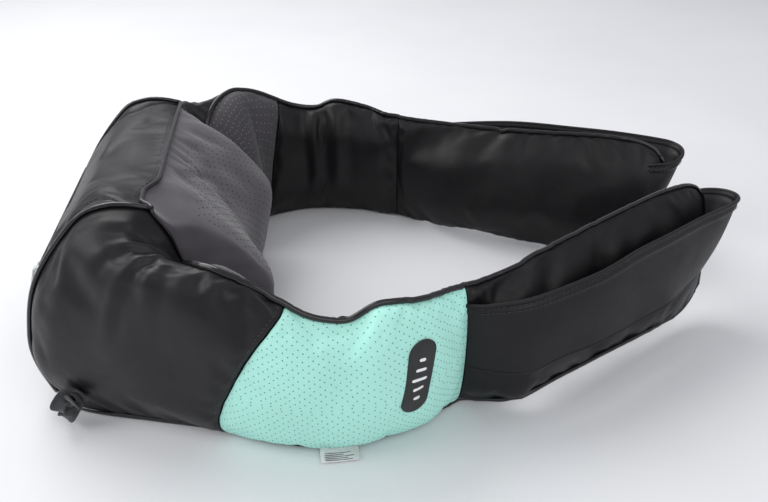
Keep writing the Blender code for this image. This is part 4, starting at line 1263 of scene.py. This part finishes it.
def make_control_bed():
    """The padded bed that the control strip is sunk into on the left arm, and marks on its keys."""
    low, high = box_in_mm("control_panel")
    centre = ((low[0] + high[0]) / 2, (low[2] + high[2]) / 2)
    grid = BODIES["left_root"]
    bed = badge_patch("control_bed", grid, centre, 0, 53, 17, -0.6, 2.4, "button_rubber")
    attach(bed, "left_shoulder")
    joints = {joint["child"]: joint for joint in frame["joints"]}
    for number, name in enumerate(("power_button", "heat_button", "direction_button", "speed_button")):
        a, b = box_in_mm(name)
        press = np.array(joints[name]["axis"], float)
        out = -press / np.linalg.norm(press)
        middle = (a + b) / 2
        across = unit(np.cross((0, 0, 1.0), out))
        thickness = (b[1] - a[1] - 15 * abs(out[0])) / 2 / abs(out[1])
        top = middle + out * (thickness + 0.05)
        turn = np.linspace(0.25 * math.tau * (number != 2), math.tau * (1 if number != 0 else 0.9), 26)
        size = (3.2, 2.6, 3.0, 2.2)[number]
        ring = top + size * (np.cos(turn)[:, None] * across + np.sin(turn)[:, None] * np.array([0, 0, 1.0]))
        mark = cord_along(f"{name}_mark", ring, 0.35, "mark_white", sides=6)
        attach(mark, name)


def finish_nodes():
    """Gives every part of the frame the procedural material of its slot."""
    slots = {part["node"]: part["material_slot"] for part in frame["record"]["subparts"]}
    for name, obj in frame["nodes"].items():
        material = FINISHES[slots[name]]
        if not obj.material_slots:
            obj.data.materials.append(material)
        for held in obj.material_slots:
            held.material = material


# ---------------------------------------------------------------- stage

CAMERA_AT, CAMERA_TURN = (-0.090, -0.564, 0.425), (56.8, 0, -8)  # metres and degrees
LIT_POINT = Vector((0, 0, 0.08))
LIGHTS = (  # name, place, size, share of the key light's power
    ("key", (-0.7, 0.9, 1.5), 1.3, 1.0),
    ("front", (0.5, -1.3, 1.3), 1.6, 0.4),
    ("rim", (-1.3, -0.2, 0.9), 0.9, 0.35),
)


def make_stage():
    """A pale floor, soft studio light and the camera."""
    look, scene = chosen(), bpy.context.scene
    bpy.ops.mesh.primitive_plane_add(size=8, location=(0, 0, 0))
    floor = bpy.context.object
    floor.name = "floor"
    floor.data.materials.append(FINISHES["floor"])
    scene.world = bpy.data.worlds.new("studio")
    scene.world.use_nodes = True
    background = scene.world.node_tree.nodes["Background"]
    background.inputs["Color"].default_value = (0.93, 0.95, 1.0, 1)
    background.inputs["Strength"].default_value = look.fill_light
    for name, place, size, share in LIGHTS:
        light = bpy.data.lights.new(name, "AREA")
        light.shape, light.size, light.energy = "DISK", size, look.key_light * share
        lamp = linked(name, light)
        lamp.location = place
        lamp.rotation_euler = (LIT_POINT - Vector(place)).to_track_quat("-Z", "Y").to_euler()
    lens = bpy.data.cameras.new("camera")
    lens.sensor_fit, lens.sensor_width, lens.lens = "HORIZONTAL", 36, look.lens
    lens.clip_start = 0.01
    scene.camera = linked("camera", lens)
    scene.camera.location = CAMERA_AT
    scene.camera.rotation_euler = [math.radians(angle) for angle in CAMERA_TURN]
    scene.view_settings.view_transform = "Standard"


# ---------------------------------------------------------------- add-on

def chosen():
    """The values set in the panel."""
    return bpy.context.scene.massager_look


class MassagerLook(bpy.types.PropertyGroup):
    """Sizes, colours and light that can be changed."""

    leather: bpy.props.FloatVectorProperty(name="Leather", description="Colour of the black covers", subtype="COLOR",
                                           default=(0.0080, 0.0071, 0.0086), min=0, max=1)
    mint: bpy.props.FloatVectorProperty(name="Mint", description="Colour of the side panels", subtype="COLOR",
                                        default=(0.45, 0.86, 0.755), min=0, max=1)
    mesh: bpy.props.FloatVectorProperty(name="Mesh", description="Colour of the knitted front", subtype="COLOR",
                                        default=(0.085, 0.076, 0.086), min=0, max=1)
    badge_length: bpy.props.FloatProperty(name="Badge length", description="Length of the badge in millimetres",
                                          default=62.0, min=20)
    badge_width: bpy.props.FloatProperty(name="Badge width", description="Width of the badge in millimetres",
                                         default=21.0, min=8)
    simulate: bpy.props.BoolProperty(name="Stuff the cushions", description="Fill the cushions by cloth simulation",
                                     default=True)
    lens: bpy.props.FloatProperty(name="Lens", description="Focal length of the camera", unit="CAMERA", default=32.8125)
    key_light: bpy.props.FloatProperty(name="Key light", description="Power of the main light", unit="POWER",
                                       default=19.5)
    fill_light: bpy.props.FloatProperty(name="Fill light", description="Strength of the surrounding light", default=0.6)


class MASSAGER_OT_finishes(bpy.types.Operator):
    """Make every material and repeat tree"""

    bl_idname = "massager.finishes"
    bl_label = "Finishes"
    bl_options = {"REGISTER", "UNDO"}

    def execute(self, context):
        make_finishes()
        TREES["perforations"] = perforation_tree()
        TREES["stitches"] = stitch_tree()
        return {"FINISHED"}


class MASSAGER_OT_frame_parts(bpy.types.Operator):
    """Finish the frame's own parts"""

    bl_idname = "massager.frame_parts"
    bl_label = "Frame parts"
    bl_options = {"REGISTER", "UNDO"}

    def execute(self, context):
        finish_nodes()
        return {"FINISHED"}


class MASSAGER_OT_pillow(bpy.types.Operator):
    """Sew and stuff the pillow"""

    bl_idname = "massager.pillow"
    bl_label = "Pillow"
    bl_options = {"REGISTER", "UNDO"}

    def execute(self, context):
        make_pillow()
        return {"FINISHED"}


class MASSAGER_OT_arm_roots(bpy.types.Operator):
    """Sew and stuff both arm roots"""

    bl_idname = "massager.arm_roots"
    bl_label = "Arm roots"
    bl_options = {"REGISTER", "UNDO"}

    def execute(self, context):
        for side in SIDES:
            make_arm_root(side)
        return {"FINISHED"}


class MASSAGER_OT_straps(bpy.types.Operator):
    """Sew and stuff both straps"""

    bl_idname = "massager.straps"
    bl_label = "Straps"
    bl_options = {"REGISTER", "UNDO"}

    def execute(self, context):
        for side in SIDES:
            make_strap(side)
        return {"FINISHED"}


class MASSAGER_OT_hand_bands(bpy.types.Operator):
    """Make both hand bands"""

    bl_idname = "massager.hand_bands"
    bl_label = "Hand bands"
    bl_options = {"REGISTER", "UNDO"}

    def execute(self, context):
        for side in SIDES:
            make_hand_band(side)
        return {"FINISHED"}


class MASSAGER_OT_badge(bpy.types.Operator):
    """Make the capsule badge"""

    bl_idname = "massager.badge"
    bl_label = "Badge"
    bl_options = {"REGISTER", "UNDO"}

    def execute(self, context):
        make_badge()
        return {"FINISHED"}


class MASSAGER_OT_label(bpy.types.Operator):
    """Make the care label"""

    bl_idname = "massager.label"
    bl_label = "Care label"
    bl_options = {"REGISTER", "UNDO"}

    def execute(self, context):
        make_label()
        return {"FINISHED"}


class MASSAGER_OT_carry_loop(bpy.types.Operator):
    """Make the gathered loop"""

    bl_idname = "massager.carry_loop"
    bl_label = "Carry loop"
    bl_options = {"REGISTER", "UNDO"}

    def execute(self, context):
        make_carry_loop()
        return {"FINISHED"}


class MASSAGER_OT_zip(bpy.types.Operator):
    """Make the zip's teeth"""

    bl_idname = "massager.zip"
    bl_label = "Zip"
    bl_options = {"REGISTER", "UNDO"}

    def execute(self, context):
        make_zip()
        return {"FINISHED"}


class MASSAGER_OT_controls(bpy.types.Operator):
    """Make the control strip's bed and marks"""

    bl_idname = "massager.controls"
    bl_label = "Controls"
    bl_options = {"REGISTER", "UNDO"}

    def execute(self, context):
        make_control_bed()
        return {"FINISHED"}


class MASSAGER_OT_stage(bpy.types.Operator):
    """Make the floor, lights and camera"""

    bl_idname = "massager.stage"
    bl_label = "Stage"
    bl_options = {"REGISTER", "UNDO"}

    def execute(self, context):
        make_stage()
        return {"FINISHED"}


OPERATORS = (  # in the order they run
    MASSAGER_OT_finishes,
    MASSAGER_OT_frame_parts,
    MASSAGER_OT_pillow,
    MASSAGER_OT_arm_roots,
    MASSAGER_OT_straps,
    MASSAGER_OT_hand_bands,
    MASSAGER_OT_badge,
    MASSAGER_OT_label,
    MASSAGER_OT_carry_loop,
    MASSAGER_OT_zip,
    MASSAGER_OT_controls,
    MASSAGER_OT_stage,
)


class MASSAGER_PT_panel(bpy.types.Panel):
    """The massager's pieces, in the order they are made."""

    bl_label = "Neck massager"
    bl_idname = "MASSAGER_PT_panel"
    bl_space_type = "VIEW_3D"
    bl_region_type = "UI"
    bl_category = "Massager"

    def draw(self, context):
        for name in MassagerLook.__annotations__:
            self.layout.prop(context.scene.massager_look, name)
        for made in OPERATORS:
            self.layout.operator(made.bl_idname)


CLASSES = (MassagerLook, *OPERATORS, MASSAGER_PT_panel)


def register():
    for made in CLASSES:
        bpy.utils.register_class(made)
    bpy.types.Scene.massager_look = bpy.props.PointerProperty(type=MassagerLook)


def unregister():
    del bpy.types.Scene.massager_look
    for made in reversed(CLASSES):
        bpy.utils.unregister_class(made)


def main():
    register()
    for made in OPERATORS:
        getattr(bpy.ops.massager, made.bl_idname.split(".")[1])()


if __name__ == "__main__":
    main()
